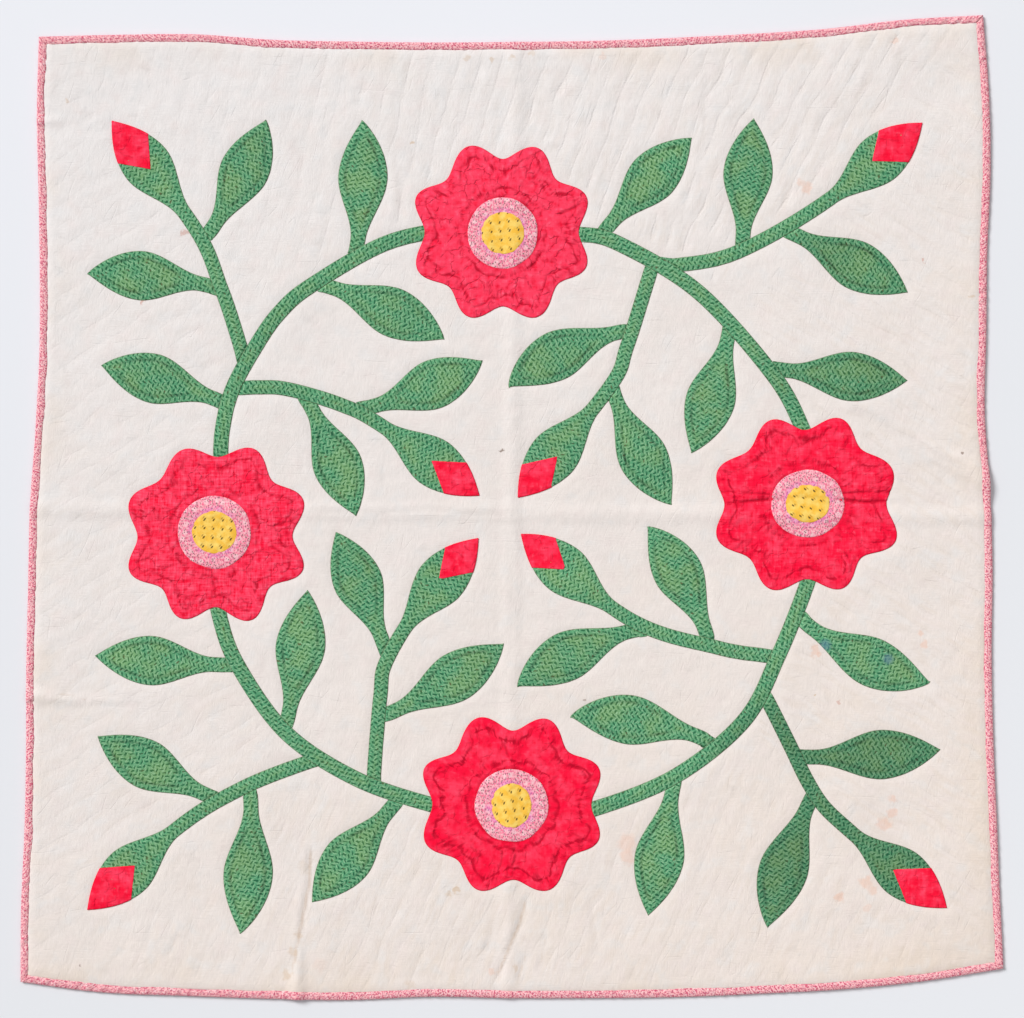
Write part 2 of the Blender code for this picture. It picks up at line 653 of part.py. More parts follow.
def add_branches(base, vines):
    outlines = {}
    for name, points in BRANCHES.items():
        centre = smooth_curve(np.array(points) * CM, CURVE_POINTS)
        strip = Strip(centre, np.zeros(len(centre)))
        foot = strip.length - BUD_LENGTH
        strip.half_width = template_half_width((strip.length_to - foot) / BUD_LENGTH, BRANCH_HALF_WIDTH)
        lengths = np.concatenate((np.linspace(0, foot, STEM_STATIONS)[:-1],
                                  foot + np.array(BLADE_STATIONS) * BUD_LENGTH))
        outlines[name] = strip.outline(lengths, vines[name[:2]])
        add_patch("branch_" + name, [outlines[name]], blade_grooves(strip, foot), base, "green_print")
    return outlines


def add_leaves(base, vines, branches):
    for quarter, number, grows_from, foot, bearing, length, bend in LEAVES:
        direction, length = bearing_vector(bearing), length * MM
        t = np.linspace(0, 1, CURVE_POINTS)
        bow = bend * MM * (4 * t * (1 - t)) ** LEAF_BEND_POWER
        centre = (np.array(foot) * CM + direction * length * t[:, None]
                  + right_of(direction) * bow[:, None])
        # the foot runs on straight, so that it always reaches what carries it
        back = unit(centre[0] - centre[CURVE_POINTS // 10]) * LEAF_FOOT
        run_on = centre[0] + back * np.linspace(1, 0, FOOT_POINTS)[:-1, None]
        half_width = template_half_width(np.concatenate((np.zeros(len(run_on)), t)), PETIOLE_HALF_WIDTH)
        strip = Strip(np.vstack((run_on, centre)), half_width)
        carrier = vines[quarter] if grows_from == "vine" else branches[quarter + "_" + grows_from]
        stations = LEAF_FOOT + np.array(BLADE_STATIONS) * (strip.length - LEAF_FOOT)
        add_patch("leaf_%s_%d" % (quarter, number), [strip.outline(stations, carrier)],
                  blade_grooves(strip, LEAF_FOOT), base, "green_print")


def main():
    for old in list(bpy.data.objects):
        bpy.data.objects.remove(old, do_unlink=True)
    add_ground_and_binding()
    base = PADDED + GAP
    roses = add_roses(base)
    vines = add_vines(base, roses)
    branches = add_branches(base, vines)
    add_leaves(base, vines, branches)


FOLD_LINES = fold_lines()
main()
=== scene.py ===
# Applique crib quilt laid flat and face up, dressed over its solids
import math

import bpy
import numpy as np
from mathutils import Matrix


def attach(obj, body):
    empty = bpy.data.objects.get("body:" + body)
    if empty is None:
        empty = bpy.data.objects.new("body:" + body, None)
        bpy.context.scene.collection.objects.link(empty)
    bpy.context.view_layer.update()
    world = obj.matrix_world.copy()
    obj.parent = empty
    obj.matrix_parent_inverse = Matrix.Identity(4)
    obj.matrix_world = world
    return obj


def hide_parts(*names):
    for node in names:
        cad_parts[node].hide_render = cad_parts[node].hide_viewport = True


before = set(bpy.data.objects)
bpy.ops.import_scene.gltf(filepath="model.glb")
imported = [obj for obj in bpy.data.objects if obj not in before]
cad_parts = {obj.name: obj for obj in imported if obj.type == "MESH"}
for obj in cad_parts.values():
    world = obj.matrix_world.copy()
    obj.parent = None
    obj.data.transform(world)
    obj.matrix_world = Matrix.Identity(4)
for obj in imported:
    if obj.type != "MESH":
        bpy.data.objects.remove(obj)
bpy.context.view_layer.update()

mm, cm = 0.001, 0.01
print("solids loaded:", len(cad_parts))


# Plane geometry

def unit(vector):
    # divided by its own length
    return np.asarray(vector, float) / np.linalg.norm(vector, axis=-1, keepdims=True)


def rightOf(direction):
    # a quarter turn to the right: y and -x
    return np.stack((direction[..., 1], -direction[..., 0]), axis=-1)


def bearing(degrees):
    # cosine and sine of an angle anticlockwise from +X
    return np.array((math.cos(math.radians(degrees)), math.sin(math.radians(degrees))))


def smoothStep(low, high, x):
    # 0 below low, 1 above high, 3t2 - 2t3 between
    t = np.clip((x - low) / (high - low), 0, 1)
    return t * t * (3 - 2 * t)


def bump(x, width):
    # 1 on the line, falling away as exp(-(x / width) squared)
    return np.exp(-(x / width) ** 2)


def smoothCurve(points, count):
    # through every point, with slopes taken from the points on either side
    points = np.asarray(points, float)
    padded = np.vstack((2 * points[0] - points[1], points, 2 * points[-1] - points[-2]))
    where = np.linspace(0, len(points) - 1, count)
    span = np.minimum(where.astype(int), len(points) - 2)
    t = (where - span)[:, None]
    before, start, end, after = (padded[span + k] for k in range(4))
    return 0.5 * (2 * start + (end - before) * t + (2 * before - 5 * start + 4 * end - after) * t ** 2
                  + (3 * start - before - 3 * end + after) * t ** 3)


def lengthsAlong(line):
    # how far along a line each of its points lies
    return np.concatenate(((0,), np.cumsum(np.linalg.norm(np.diff(line, axis=0), axis=1))))


def quarterRound(inset, radius):
    # a circle's height from 0 at the edge to 1 a radius in: the root of 1 less (1 - inset / radius) squared
    return np.sqrt(1 - (1 - np.clip(inset / radius, 0, 1)) ** 2)


def ripple(p, length, seed, heading=0.0, spread=90.0, waves=16):
    # sum of plane waves near one wavelength, travelling within the spread of a heading
    rng = np.random.default_rng(seed)
    angle = np.radians(heading + rng.uniform(-spread, spread, waves))
    pitch = 2 * math.pi / (length * rng.uniform(0.7, 1.4, waves))
    phase = rng.uniform(0, 2 * math.pi, waves)
    total = np.zeros(len(p))
    for a, k, f in zip(angle, pitch, phase):
        total += np.sin(k * (p[:, 0] * math.cos(a) + p[:, 1] * math.sin(a)) + f)
    return total * math.sqrt(2 / waves)


def ripples(p, *layers):
    # several ripples added up: strength, length mm and seed of each
    return sum(strength * ripple(p, length * mm, seed) for strength, length, seed in layers)


def wrinkles(p, length, seed, heading=0.0, spread=90.0, width=0.22):
    # thin lines where a ripple passes through zero
    return bump(ripple(p, length, seed, heading, spread), width)


def nearTo(line, p, reach):
    # numbers of the points in the line's box, widened by the reach
    return np.nonzero(np.all((p > line.min(0) - reach) & (p < line.max(0) + reach), axis=1))[0]


def outlineGap(p, loop, reach=30 * mm):
    # distance to a closed line, negative inside it and never more than the reach
    gap, nothing, atOnce = np.full(len(p), reach), 1e-12, 3000
    near, ahead = nearTo(loop, p, reach), np.roll(loop, -1, axis=0)
    step = ahead - loop
    rise = np.where(np.abs(step[:, 1]) < nothing, nothing, step[:, 1])
    for part in np.array_split(near, max(1, len(near) // atOnce)):
        q = p[part][:, None, :]
        t = np.sum((q - loop) * step, axis=2) / np.maximum(np.sum(step ** 2, axis=1), nothing ** 2)
        t = np.clip(t, 0, 1)
        away = np.linalg.norm(loop + step * t[..., None] - q, axis=2).min(axis=1, initial=reach)
        spans = (loop[:, 1] > q[..., 1]) != (ahead[:, 1] > q[..., 1])
        crossing = loop[:, 0] + (q[..., 1] - loop[:, 1]) * step[:, 0] / rise
        within = np.sum(spans & (crossing > q[..., 0]), axis=1) % 2 == 1
        gap[part] = np.where(within, -away, away)
    return gap


def lineGap(p, line, reach):
    # distance to an open line, and how far along it the nearest point lies, from 0 to 1
    line = np.asarray(line, float)
    gap, along = np.full(len(p), 2 * reach), np.zeros(len(p))
    near, spans = nearTo(line, p, reach), len(line) - 1
    for k in range(spans):
        step = line[k + 1] - line[k]
        t = np.clip((p[near] - line[k]) @ step / (step @ step), 0, 1)
        away = np.linalg.norm(line[k] + step * t[:, None] - p[near], axis=1)
        closer = away < gap[near]
        gap[near[closer]] = away[closer]
        along[near[closer]] = (k + t[closer]) / spans
    return gap, along


def fromPhoto(*pixels):
    # places read off the photograph, 0.98 mm a pixel from the middle of the quilt
    return (np.array(pixels, float) - (512, 507.7)) * (0.98 * mm, -0.98 * mm)


# How the whole quilt lies

folds = {
    "storage": (((0.0, -0.5), -0.5, 1.2, 13.0), ((0.0, 0.0), 89.5, 1.0, 13.0)),   # cm, degrees, mm, mm
    "soft": (((32.8, 9.9), (46.6, 2.7), 4.0, 20.0), ((-20.8, -36.5), (-21.1, -48.0), 2.5, 13.0),
             ((-35.5, -19.3), (-47.6, -18.4), 2.0, 12.0), ((-40.4, 38.1), (-46.6, 37.9), 1.5, 8.0)),
    "swell": 0.22 * mm, "swellLength": 110 * mm,
}


def ridge(across):
    # half of 1 plus cosine, from 1 on the ridge to 0 at its foot
    return 0.5 * (1 + np.cos(math.pi * np.minimum(1, across)))


def foldRise(p):
    # raised cosine ridges: even along a storage fold, widening and rising along a soft one
    rise = np.zeros(len(p))
    for point, heading, height, halfWidth in folds["storage"]:
        across = np.abs((p - np.array(point) * cm) @ rightOf(bearing(heading))) / (halfWidth * mm)
        rise += height * mm * ridge(across)
    for tip, end, height, halfWidth in folds["soft"]:
        tip, end = np.array(tip) * cm, np.array(end) * cm
        along = np.clip((p - tip) @ unit(end - tip) / np.linalg.norm(end - tip), 0, 1.4)
        across = np.abs((p - tip) @ rightOf(unit(end - tip))) / (halfWidth * mm * along + 1e-9)
        rise += height * mm * along * ridge(across)
    return rise


def swellOf(p):
    # a slow ripple of the whole cloth
    return folds["swell"] * ripple(p, folds["swellLength"], 3)


def lieOf(p):
    # the folds and the swell together
    return foldRise(p) + swellOf(p)


# Meshes

def addObject(name, data):
    thing = bpy.data.objects.new(name, data)
    bpy.context.scene.collection.objects.link(thing)
    return thing


def addPiece(name, points, faces, material):
    mesh = bpy.data.meshes.new(name)
    mesh.from_pydata(np.reshape(points, (-1, 3)), [], faces)
    mesh.shade_smooth()
    mesh.materials.append(material)
    return addObject(name, mesh)


def dress(piece, node):
    # what the piece stands for, if it has a solid, which is hidden; all of it is one body
    if node:
        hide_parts(node)
    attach(piece, "root")


def turned(x, y, degrees):
    # x cos - y sin and x sin + y cos
    spin = math.radians(degrees)
    return x * math.cos(spin) - y * math.sin(spin), x * math.sin(spin) + y * math.cos(spin)


def store(piece, name, values):
    # a number at each point, for the material to read
    values = np.ascontiguousarray(values, np.float32).ravel()
    piece.data.attributes.new(name, "FLOAT", "POINT").data.foreach_set("value", values)


def storeGrain(piece, across, along):
    # the cloth's own threads as a UV map, in centimetres
    corner = np.empty(len(piece.data.loops), np.int32)
    piece.data.loops.foreach_get("vertex_index", corner)
    uv = np.column_stack((np.ravel(across), np.ravel(along)))[corner] / cm
    piece.data.uv_layers.new(name="grain").data.foreach_set("uv", uv.astype(np.float32).ravel())


def tubePiece(name, rings, material, ends=None):
    # quads between rings that close round, each end closed by the faces named (one flat face if
    # none are), turned so that all of them point outwards
    count, around = rings.shape[:2]
    k, j = np.meshgrid(np.arange(count - 1), np.arange(around), indexing="ij")
    a, b = k * around + j, k * around + (j + 1) % around
    quads = np.stack((a, b, b + around, a + around), axis=-1).reshape(-1, 4)
    last = (count - 1) * around
    ends = ends or [list(range(around))]
    faces = quads.tolist() + [face[::-1] for face in ends] + [[last + n for n in face] for face in ends]
    a, b, c, d = (rings.reshape(-1, 3)[quads[:, k]] for k in range(4))
    if np.sum(np.cross(a, b) * c) + np.sum(np.cross(a, c) * d) < 0:
        faces = [face[::-1] for face in faces]
    return addPiece(name, rings, faces, material)


# Node trees

class Wire:
    # a socket that can be added, multiplied and shaped like a number

    def __init__(self, tree, socket):
        self.tree, self.socket = tree, socket

    def math(self, operation, *others):
        return addNode(self.tree, "Math", enumerate((self,) + others), operation=operation)

    def __add__(self, other): return self.math("ADD", other)
    def __radd__(self, other): return self + other
    def __sub__(self, other): return self.math("SUBTRACT", other)
    def __rsub__(self, other): return (self * -1.0) + other
    def __mul__(self, other): return self.math("MULTIPLY", other)
    def __truediv__(self, other): return self.math("DIVIDE", other)
    def fract(self): return self.math("FRACT")
    def floor(self): return self.math("FLOOR")
    def size(self): return self.math("ABSOLUTE")
    def wave(self): return self.math("SINE")
    def least(self, other): return self.math("MINIMUM", other)
    def most(self, other): return self.math("MAXIMUM", other)

    def awayFrom(self, pixel):
        # distance to a place on the photograph, mm
        place = (*(fromPhoto(pixel)[0] / mm), 0.0)
        return addNode(self.tree, "VectorMath", ((0, self), (1, place)), "Value", operation="DISTANCE")

    def soft(self, low, high):
        # 0 at low, 1 at high, eased between
        low, high, ends = (low, high, (0.0, 1.0)) if low < high else (high, low, (1.0, 0.0))
        return addNode(self.tree, "MapRange", enumerate((self, low, high) + ends),
                       interpolation_type="SMOOTHSTEP")


def plug(slot, value):
    if isinstance(value, Wire):
        value.tree.links.new(value.socket, slot)
    else:
        slot.default_value = value


def addNode(tree, kind, inputs=(), output=0, **settings):
    # a node with its settings made and its inputs filled, and one of its outputs as a wire
    node = tree.nodes.new("ShaderNode" + kind)
    for key, value in settings.items():
        setattr(node, key, value)
    for slot, value in inputs:
        plug(node.inputs[slot], value)
    return Wire(tree, node.outputs[output])


class Cloth:
    # a cloth's material: its coordinates, noises and mixes, and the plug-in of what they make

    def __init__(self, name, roughness=0.88, sheen=0.05, gloss=0.15):
        self.material = bpy.data.materials.new(name)
        self.material.use_nodes = True
        self.tree = self.material.node_tree
        self.shader = self.tree.nodes["Principled BSDF"]
        for label, value in (("Roughness", roughness), ("Sheen Weight", sheen),
                             ("Specular IOR Level", gloss)):
            self.shader.inputs[label].default_value = value

    def split(self, wire, scale):
        node = self.tree.nodes.new("ShaderNodeSeparateXYZ")
        plug(node.inputs[0], wire)
        return [Wire(self.tree, out) * scale for out in node.outputs[:2]]

    def place(self, scale=1 / mm):
        # where a point lies on the quilt, in millimetres
        return self.split(addNode(self.tree, "TexCoord", output="Object"), scale)

    def grain(self):
        # the threads' own coordinates, in millimetres
        return self.split(addNode(self.tree, "UVMap", uv_map="grain"), cm / mm)

    def stored(self, *names):
        wires = [addNode(self.tree, "Attribute", (), "Fac", attribute_name=name) for name in names]
        return wires if len(wires) > 1 else wires[0]

    def spot(self, x, y, z=0.0):
        return addNode(self.tree, "CombineXYZ", enumerate((x, y, z)))

    def noise(self, x, y, detail=2.0, shift=0.0):
        # about 0 to 1, with one unit of x or y to a cell
        return addNode(self.tree, "TexNoise", (("Vector", self.spot(x, y, shift)), ("Scale", 1.0),
                                               ("Detail", detail)))

    def speckle(self, x, y, scale, detail=2.0, shift=0.0):
        # the same, with as many cells to a millimetre both ways
        return self.noise(x * scale, y * scale, detail, shift)

    def cells(self, x, y, scatter, feature="F1"):
        # distance to the nearest of a scatter of points, one to each unit square, or to its cell's edge
        return addNode(self.tree, "TexVoronoi", (("Vector", self.spot(x, y)), ("Scale", 1.0),
                                                 ("Randomness", scatter)),
                       "Distance", feature=feature, voronoi_dimensions="2D")

    def mix(self, factor, first, second):
        first, second = (hue if isinstance(hue, Wire) else (*hue, 1.0) for hue in (first, second))
        return addNode(self.tree, "Mix", ((0, factor), (6, first), (7, second)), 2, data_type="RGBA")

    def coats(self, colour, *layers):
        # a colour with others laid over it, each by how much of it shows and its hue
        for amount, hue in layers:
            colour = self.mix(amount, colour, hue)
        return colour

    def shade(self, colour, amount):
        # a colour made lighter or darker by a factor near 1
        return addNode(self.tree, "VectorMath", ((0, colour), ("Scale", amount)), operation="SCALE")

    def weave(self, x, y, pitch=0.45):
        # over and under threads, from -1 to 1, x and y in millimetres
        turn = 2 * math.pi / pitch
        return (x * turn).wave() * (y * turn).wave()

    def finish(self, colour, height=None):
        # colour and, as bump, a height in millimetres
        plug(self.shader.inputs["Base Color"], colour)
        if height is not None:
            plug(self.shader.inputs["Normal"], addNode(self.tree, "Bump", (
                ("Strength", 1.0), ("Distance", mm), ("Height", height))))
        return self.material


# Where the applique lies

roses = {
    # centre cm, half width and height mm, disc centre cm, disc halves mm, yellow centre halves mm
    "Top": ((-1.0, 27.0), (83.0, 81.8), (-0.9, 26.9), (34.5, 35.0), (21.4, 21.0)),
    "Left": ((-29.0, -2.6), (84.4, 82.2), (-29.15, -2.4), (36.2, 35.8), (22.2, 21.0)),
    "Right": ((28.75, 0.35), (86.6, 81.8), (28.95, 0.4), (36.2, 33.2), (22.0, 18.8)),
    "Bottom": ((0.0, -29.1), (85.4, 82.6), (-0.05, -29.15), (36.2, 35.8), (20.0, 22.2)),
}
scallops, scallopDepth, handCut = 8, 7.6 * mm, 0.9 * mm

vines = {
    "Nw": ("Left", "Top", ((-28.6, 3.0), (-28.4, 7.5), (-27.4, 11.6), (-25.0, 16.0), (-22.8, 19.1),
                           (-19.8, 21.7), (-12.4, 25.9), (-5.0, 27.6))),
    "Ne": ("Top", "Right", ((3.0, 26.8), (6.5, 26.8), (10.4, 25.9), (18.3, 21.1), (25.6, 13.0),
                            (28.5, 7.7), (29.6, 4.0))),
    "Se": ("Right", "Bottom", ((29.8, -4.0), (28.9, -7.5), (26.1, -14.5), (22.7, -20.9), (16.0, -26.3),
                               (8.1, -29.5), (4.0, -30.1))),
    "Sw": ("Left", "Bottom", ((-29.1, -7.0), (-28.7, -10.5), (-26.9, -15.4), (-22.1, -22.1),
                              (-15.2, -26.6), (-7.9, -29.1), (-4.0, -29.8))),
}
vineHalfWidth = 7.5 * mm

branches = {
    "NwOuter": ((-26.2, 14.0), (-26.8, 16.4), (-28.5, 21.5), (-31.2, 27.6), (-39.2, 37.9)),
    "NwInner": ((-27.0, 11.7), (-24.8, 11.8), (-21.9, 11.6), (-16.8, 10.1), (-12.7, 8.0), (-3.2, 1.2)),
    "NeOuter": ((14.4, 24.0), (16.4, 23.8), (22.2, 25.1), (30.9, 30.1), (40.2, 37.7)),
    "NeInner": ((14.2, 24.6), (13.6, 23.2), (11.3, 15.9), (9.4, 11.6), (0.6, 1.0)),
    "SeOuter": ((24.6, -18.2), (25.2, -19.2), (27.3, -23.4), (28.9, -26.7), (30.5, -29.2), (32.8, -31.4),
                (35.8, -33.9), (42.6, -39.2)),
    "SeInner": ((26.6, -14.8), (24.8, -14.5), (20.1, -13.7), (11.5, -10.9), (0.9, -2.6)),
    "SwOuter": ((-18.6, -24.7), (-20.2, -25.0), (-26.5, -27.5), (-32.8, -31.4), (-41.6, -39.4)),
    "SwInner": ((-13.5, -27.0), (-13.5, -25.6), (-12.9, -18.4), (-12.3, -15.0), (-8.9, -9.5),
                (-3.3, -3.0)),
}

leaves = {
    # each quarter's leaves, numbered in turn: what it grows from, foot cm, bearing degrees, length mm,
    # bend to the right mm
    "Nw": (("Outer", (-29.8, 26.9), 63, 125, 4), ("Outer", (-29.3, 21.6), 174, 124, 4),
           ("Vine", (-15.4, 24.9), 87, 131, 4), ("Vine", (-18.6, 21.8), -24, 131, -4),
           ("Vine", (-28.4, 10.3), 163, 124, 3), ("Inner", (-14.4, 9.8), 22, 124, 4),
           ("Inner", (-20.1, 10.5), -67, 123, -3)),
    "Ne": (("Outer", (22.6, 25.6), 85, 126, -1), ("Outer", (27.2, 27.0), -27, 130, -1),
           ("Vine", (9.1, 27.1), 47, 125, -2), ("Vine", (21.3, 17.6), -107, 128, -3),
           ("Vine", (25.9, 13.6), -5, 129, 1), ("Inner", (11.4, 17.2), -155, 129, 9),
           ("Inner", (9.9, 11.6), -63, 127, 4)),
    "Se": (("Outer", (28.4, -24.4), 3, 136, 2), ("Outer", (29.5, -28.3), -109, 136, 4),
           ("Vine", (28.6, -11.0), -26, 138, 8), ("Vine", (15.9, -26.8), -101, 134, 0),
           ("Vine", (19.0, -22.9), 170, 135, 8), ("Inner", (19.1, -12.9), 118, 125, 6),
           ("Inner", (12.5, -12.0), -155, 132, 7)),
    "Sw": (("Outer", (-29.3, -28.4), 152, 128, -2), ("Outer", (-25.7, -28.0), -94, 138, -4),
           ("Vine", (-28.0, -15.4), 176, 129, -1), ("Vine", (-11.5, -29.0), -130, 126, 0),
           ("Vine", (-22.1, -21.0), 81, 131, 2), ("Inner", (-12.5, -13.6), 113, 122, 1),
           ("Inner", (-12.3, -20.2), 31, 134, 4)),
}
blade = {"halfWidth": 24.2 * mm, "widestAt": 0.57, "swellsFrom": 0.10, "tipPower": 1.9,
         "petiole": 7.3 * mm, "branch": 7.0 * mm, "bud": 127 * mm, "bendPower": 0.6, "foot": 12 * mm}


def bladeHalfWidth(t, petiole):
    # eased from the stalk to the widest place, then a parabola-like taper to the tip
    swell = smoothStep(blade["swellsFrom"], blade["widestAt"], t)
    taper = np.clip((t - blade["widestAt"]) / (1 - blade["widestAt"]), 0, 1)
    return np.where(t < blade["widestAt"], petiole + (blade["halfWidth"] - petiole) * swell,
                    blade["halfWidth"] * (1 - taper ** blade["tipPower"]))


class Strip:
    # a patch along a centre line, read by length along and share across, -1 left to 1 right

    def __init__(self, centre, halfWidthAt):
        self.lengthTo = lengthsAlong(centre)
        self.length = self.lengthTo[-1]
        halfWidth = np.maximum(halfWidthAt(self.lengthTo, self.length), 0.25 * mm)
        slope = np.gradient(halfWidth, self.lengthTo)
        right = rightOf(unit(np.gradient(centre, axis=0)))
        self.table = np.column_stack((centre, right, halfWidth, 1 / np.sqrt(1 + slope ** 2)))

    def at(self, length, across):
        # points, half width there and the distance in from the nearer long edge
        shape = np.broadcast(length, across).shape
        length, across = (np.broadcast_to(v, shape).ravel() for v in (length, across))
        x, y, rightX, rightY, half, lean = (np.interp(length, self.lengthTo, c) for c in self.table.T)
        points = np.column_stack((x + rightX * half * across, y + rightY * half * across))
        return points, half, half * (1 - np.abs(across)) * lean

    def outline(self, start=0.0):
        length = np.linspace(start, self.length, 90)
        return np.vstack((self.at(length, 1.0)[0], self.at(length, -1.0)[0][::-1]))


def roseLoop(name, inset, count, scallop=1.0):
    # an ellipse less the inset and a cosine of eight scallops, which stray a little as hand-cut ones do
    centre, halves = (np.array(v) for v in roses[name][:2])
    angle = np.linspace(0, 2 * math.pi, count, endpoint=False)
    around = np.column_stack((np.cos(angle), np.sin(angle)))
    stray = handCut * ripple(around * halves * mm, 50 * mm, ord(name[1]))
    reach = halves * mm - (inset + scallop * (scallopDepth * np.cos(scallops * angle) + stray))[:, None]
    return centre * cm + around * reach


def vineStrip(points):
    # a curve through the points, with one width all along
    return Strip(smoothCurve(np.array(points) * cm, 400),
                 lambda at, length: np.full(len(at), vineHalfWidth))


def branchStrip(points):
    # a curve through the points: a stalk, then a bud shaped like a blade
    return Strip(smoothCurve(np.array(points) * cm, 400),
                 lambda at, length: bladeHalfWidth((at - length + blade["bud"]) / blade["bud"],
                                                   blade["branch"]))


def leafStrip(foot, heading, length, bend):
    # a bowed centre line, and a straight foot that runs on under what carries the leaf
    t = np.linspace(0, 1, 300)[:, None]
    centre = (np.array(foot) * cm + bearing(heading) * length * mm * t
              + rightOf(bearing(heading)) * bend * mm * (4 * t * (1 - t)) ** blade["bendPower"])
    runOn = centre[0] + unit(centre[0] - centre[30]) * blade["foot"] * np.linspace(1, 0, 16)[:-1, None]
    return Strip(np.vstack((runOn, centre)), lambda at, whole: bladeHalfWidth(
        (at - blade["foot"]) / (whole - blade["foot"]), blade["petiole"]))


vineStrips = {name: vineStrip(points) for name, (_, _, points) in vines.items()}
branchStrips = {name: branchStrip(points) for name, points in branches.items()}
leafStrips = {(quarter, number): leafStrip(*shape) for quarter, rows in leaves.items()
              for number, (_, *shape) in enumerate(rows, 1)}
roseLoops = {name: roseLoop(name, 0.0, 288) for name in roses}
motifLoops = ([s.outline() for group in (vineStrips, branchStrips) for s in group.values()]
              + [s.outline(blade["foot"]) for s in leafStrips.values()] + list(roseLoops.values()))
print("applique laid out:", len(motifLoops), "motifs")


# Quilt: top, batting and back as one padded sheet

quilt = {
    "corners": {"topLeft": (-46.4, 46.2), "topRight": (46.2, 48.3),
                "bottomRight": (48.2, -45.2), "bottomLeft": (-48.2, -46.5)},      # cm
    # each side clockwise: its corners, then how far it bows outward at even steps, mm
    "sides": {
        "Top": ("topLeft", "topRight", (0, 0, -1.3, -8.5, -11.9, -14.5, -15.8, -16.5, -15.4, -13.2,
                                        -9.9, -2.7, 0)),
        "Right": ("topRight", "bottomRight", (0, 4.2, 4.0, -0.9, -3.4, -6.6, -3.0, -2.3, -4.9, -5.1,
                                              -3.6, -2.0, 0)),
        "Bottom": ("bottomRight", "bottomLeft", (0, 11.5, 18.3, 21.5, 23.7, 23.6, 22.5, 20.0, 22.3,
                                                 19.8, 15.9, 11.5, 0)),
        "Left": ("bottomLeft", "topLeft", (0, 0.8, -1.1, -1.0, 0.3, 0.1, -0.2, -4.0, -6.5, -5.4,
                                           -2.7, 0.4, 0)),
    },
    "thickness": 4.0 * mm, "edgeThickness": 2.7 * mm, "edgeLift": 1.1 * mm,
    "tuck": 5.6 * mm, "roll": 13.6 * mm, "topGrid": 288, "backGrid": 96,
    "wreath": ((-0.1, -1.1), 30.5),        # centre and radius of the ring of vines, cm
    "rowPitch": 19.5 * mm, "rowDepth": 0.55 * mm, "stitchWidth": 2.4 * mm,
    "edgeDip": 0.35 * mm, "edgeDipWidth": 3.2 * mm, "underApplique": 0.5 * mm,
    "echoes": (10 * mm, 20 * mm), "echoDepth": 0.22 * mm, "echoWidth": 2.2 * mm, "puff": 0.15 * mm,
    "flat": (0.952, 0.955), "area": 0.88,
}


def quiltSides(count):
    # each side's points clockwise, and the step inward at each, leaning to the mitre at both ends
    raw, t = [], np.linspace(0, 1, count + 1)[:, None]
    for start, end, bows in quilt["sides"].values():
        start, end = (np.array(quilt["corners"][corner]) * cm for corner in (start, end))
        bow = smoothCurve(np.reshape(bows, (-1, 1)), count + 1) * mm
        points = start + (end - start) * t - rightOf(unit(end - start)) * bow
        along = unit(np.gradient(points, axis=0))
        raw.append((points, along, rightOf(along)))
    sides = []
    for k, (points, along, inward) in enumerate(raw):
        lean = []
        for end, neighbour in ((0, raw[k - 1][2][-1]), (-1, raw[(k + 1) % 4][2][0])):
            mitre = (inward[end] + neighbour) / (1 + inward[end] @ neighbour)
            lean.append(mitre @ along[end])
        sides.append((points, inward + along * (lean[0] * (1 - t) + lean[1] * t)))
    return dict(zip(quilt["sides"], sides))


def coonsGrid(count, inset):
    # the four sides blended: bottom to top plus left to right, less the corners' own blend
    sides = {name: points + step * inset for name, (points, step) in quiltSides(count).items()}
    top, right, bottom, left = (sides[name] for name in ("Top", "Right", "Bottom", "Left"))
    bottom, right = bottom[::-1], right[::-1]
    u, v = (np.linspace(0, 1, count + 1)[s][..., None] for s in (np.s_[None, :], np.s_[:, None]))
    corners = ((1 - u) * (1 - v) * bottom[0] + u * (1 - v) * bottom[-1]
               + (1 - u) * v * top[0] + u * v * top[-1])
    return ((1 - v) * bottom[None] + v * top[None] + (1 - u) * left[:, None] + u * right[:, None]
            - corners)


def edgeGap(p):
    # distance in from the quilt's outer edge
    loop = np.vstack([points[:-1] for points, _ in quiltSides(72).values()])
    return -outlineGap(p, loop, 60 * mm)


def sideOf(p):
    # which side's quilting a point belongs to, by its bearing from the wreath's centre, and how far
    # it is from the corner line where two sides' rows meet
    centre = np.array(quilt["wreath"][0]) * cm
    corners = np.array(list(quilt["corners"].values())) * cm
    angle = np.arctan2(p[:, 1] - centre[1], p[:, 0] - centre[0])
    topLeft, topRight, bottomRight, bottomLeft = np.arctan2(*(corners - centre).T[::-1])
    side = np.full(len(p), 3)
    side[(angle <= topLeft) & (angle > topRight)] = 0
    side[(angle <= topRight) & (angle > bottomRight)] = 1
    side[(angle <= bottomRight) & (angle > bottomLeft)] = 2
    seams = np.min([np.abs((p - centre) @ rightOf(unit(corner - centre))) for corner in corners], axis=0)
    return side, seams


rowShapes = {
    # bearing of the rows on each side, and how plainly they show
    "Top": (66, 1.0), "Right": (-30, 0.60), "Bottom": (66, 0.8), "Left": (32, 0.45),
}


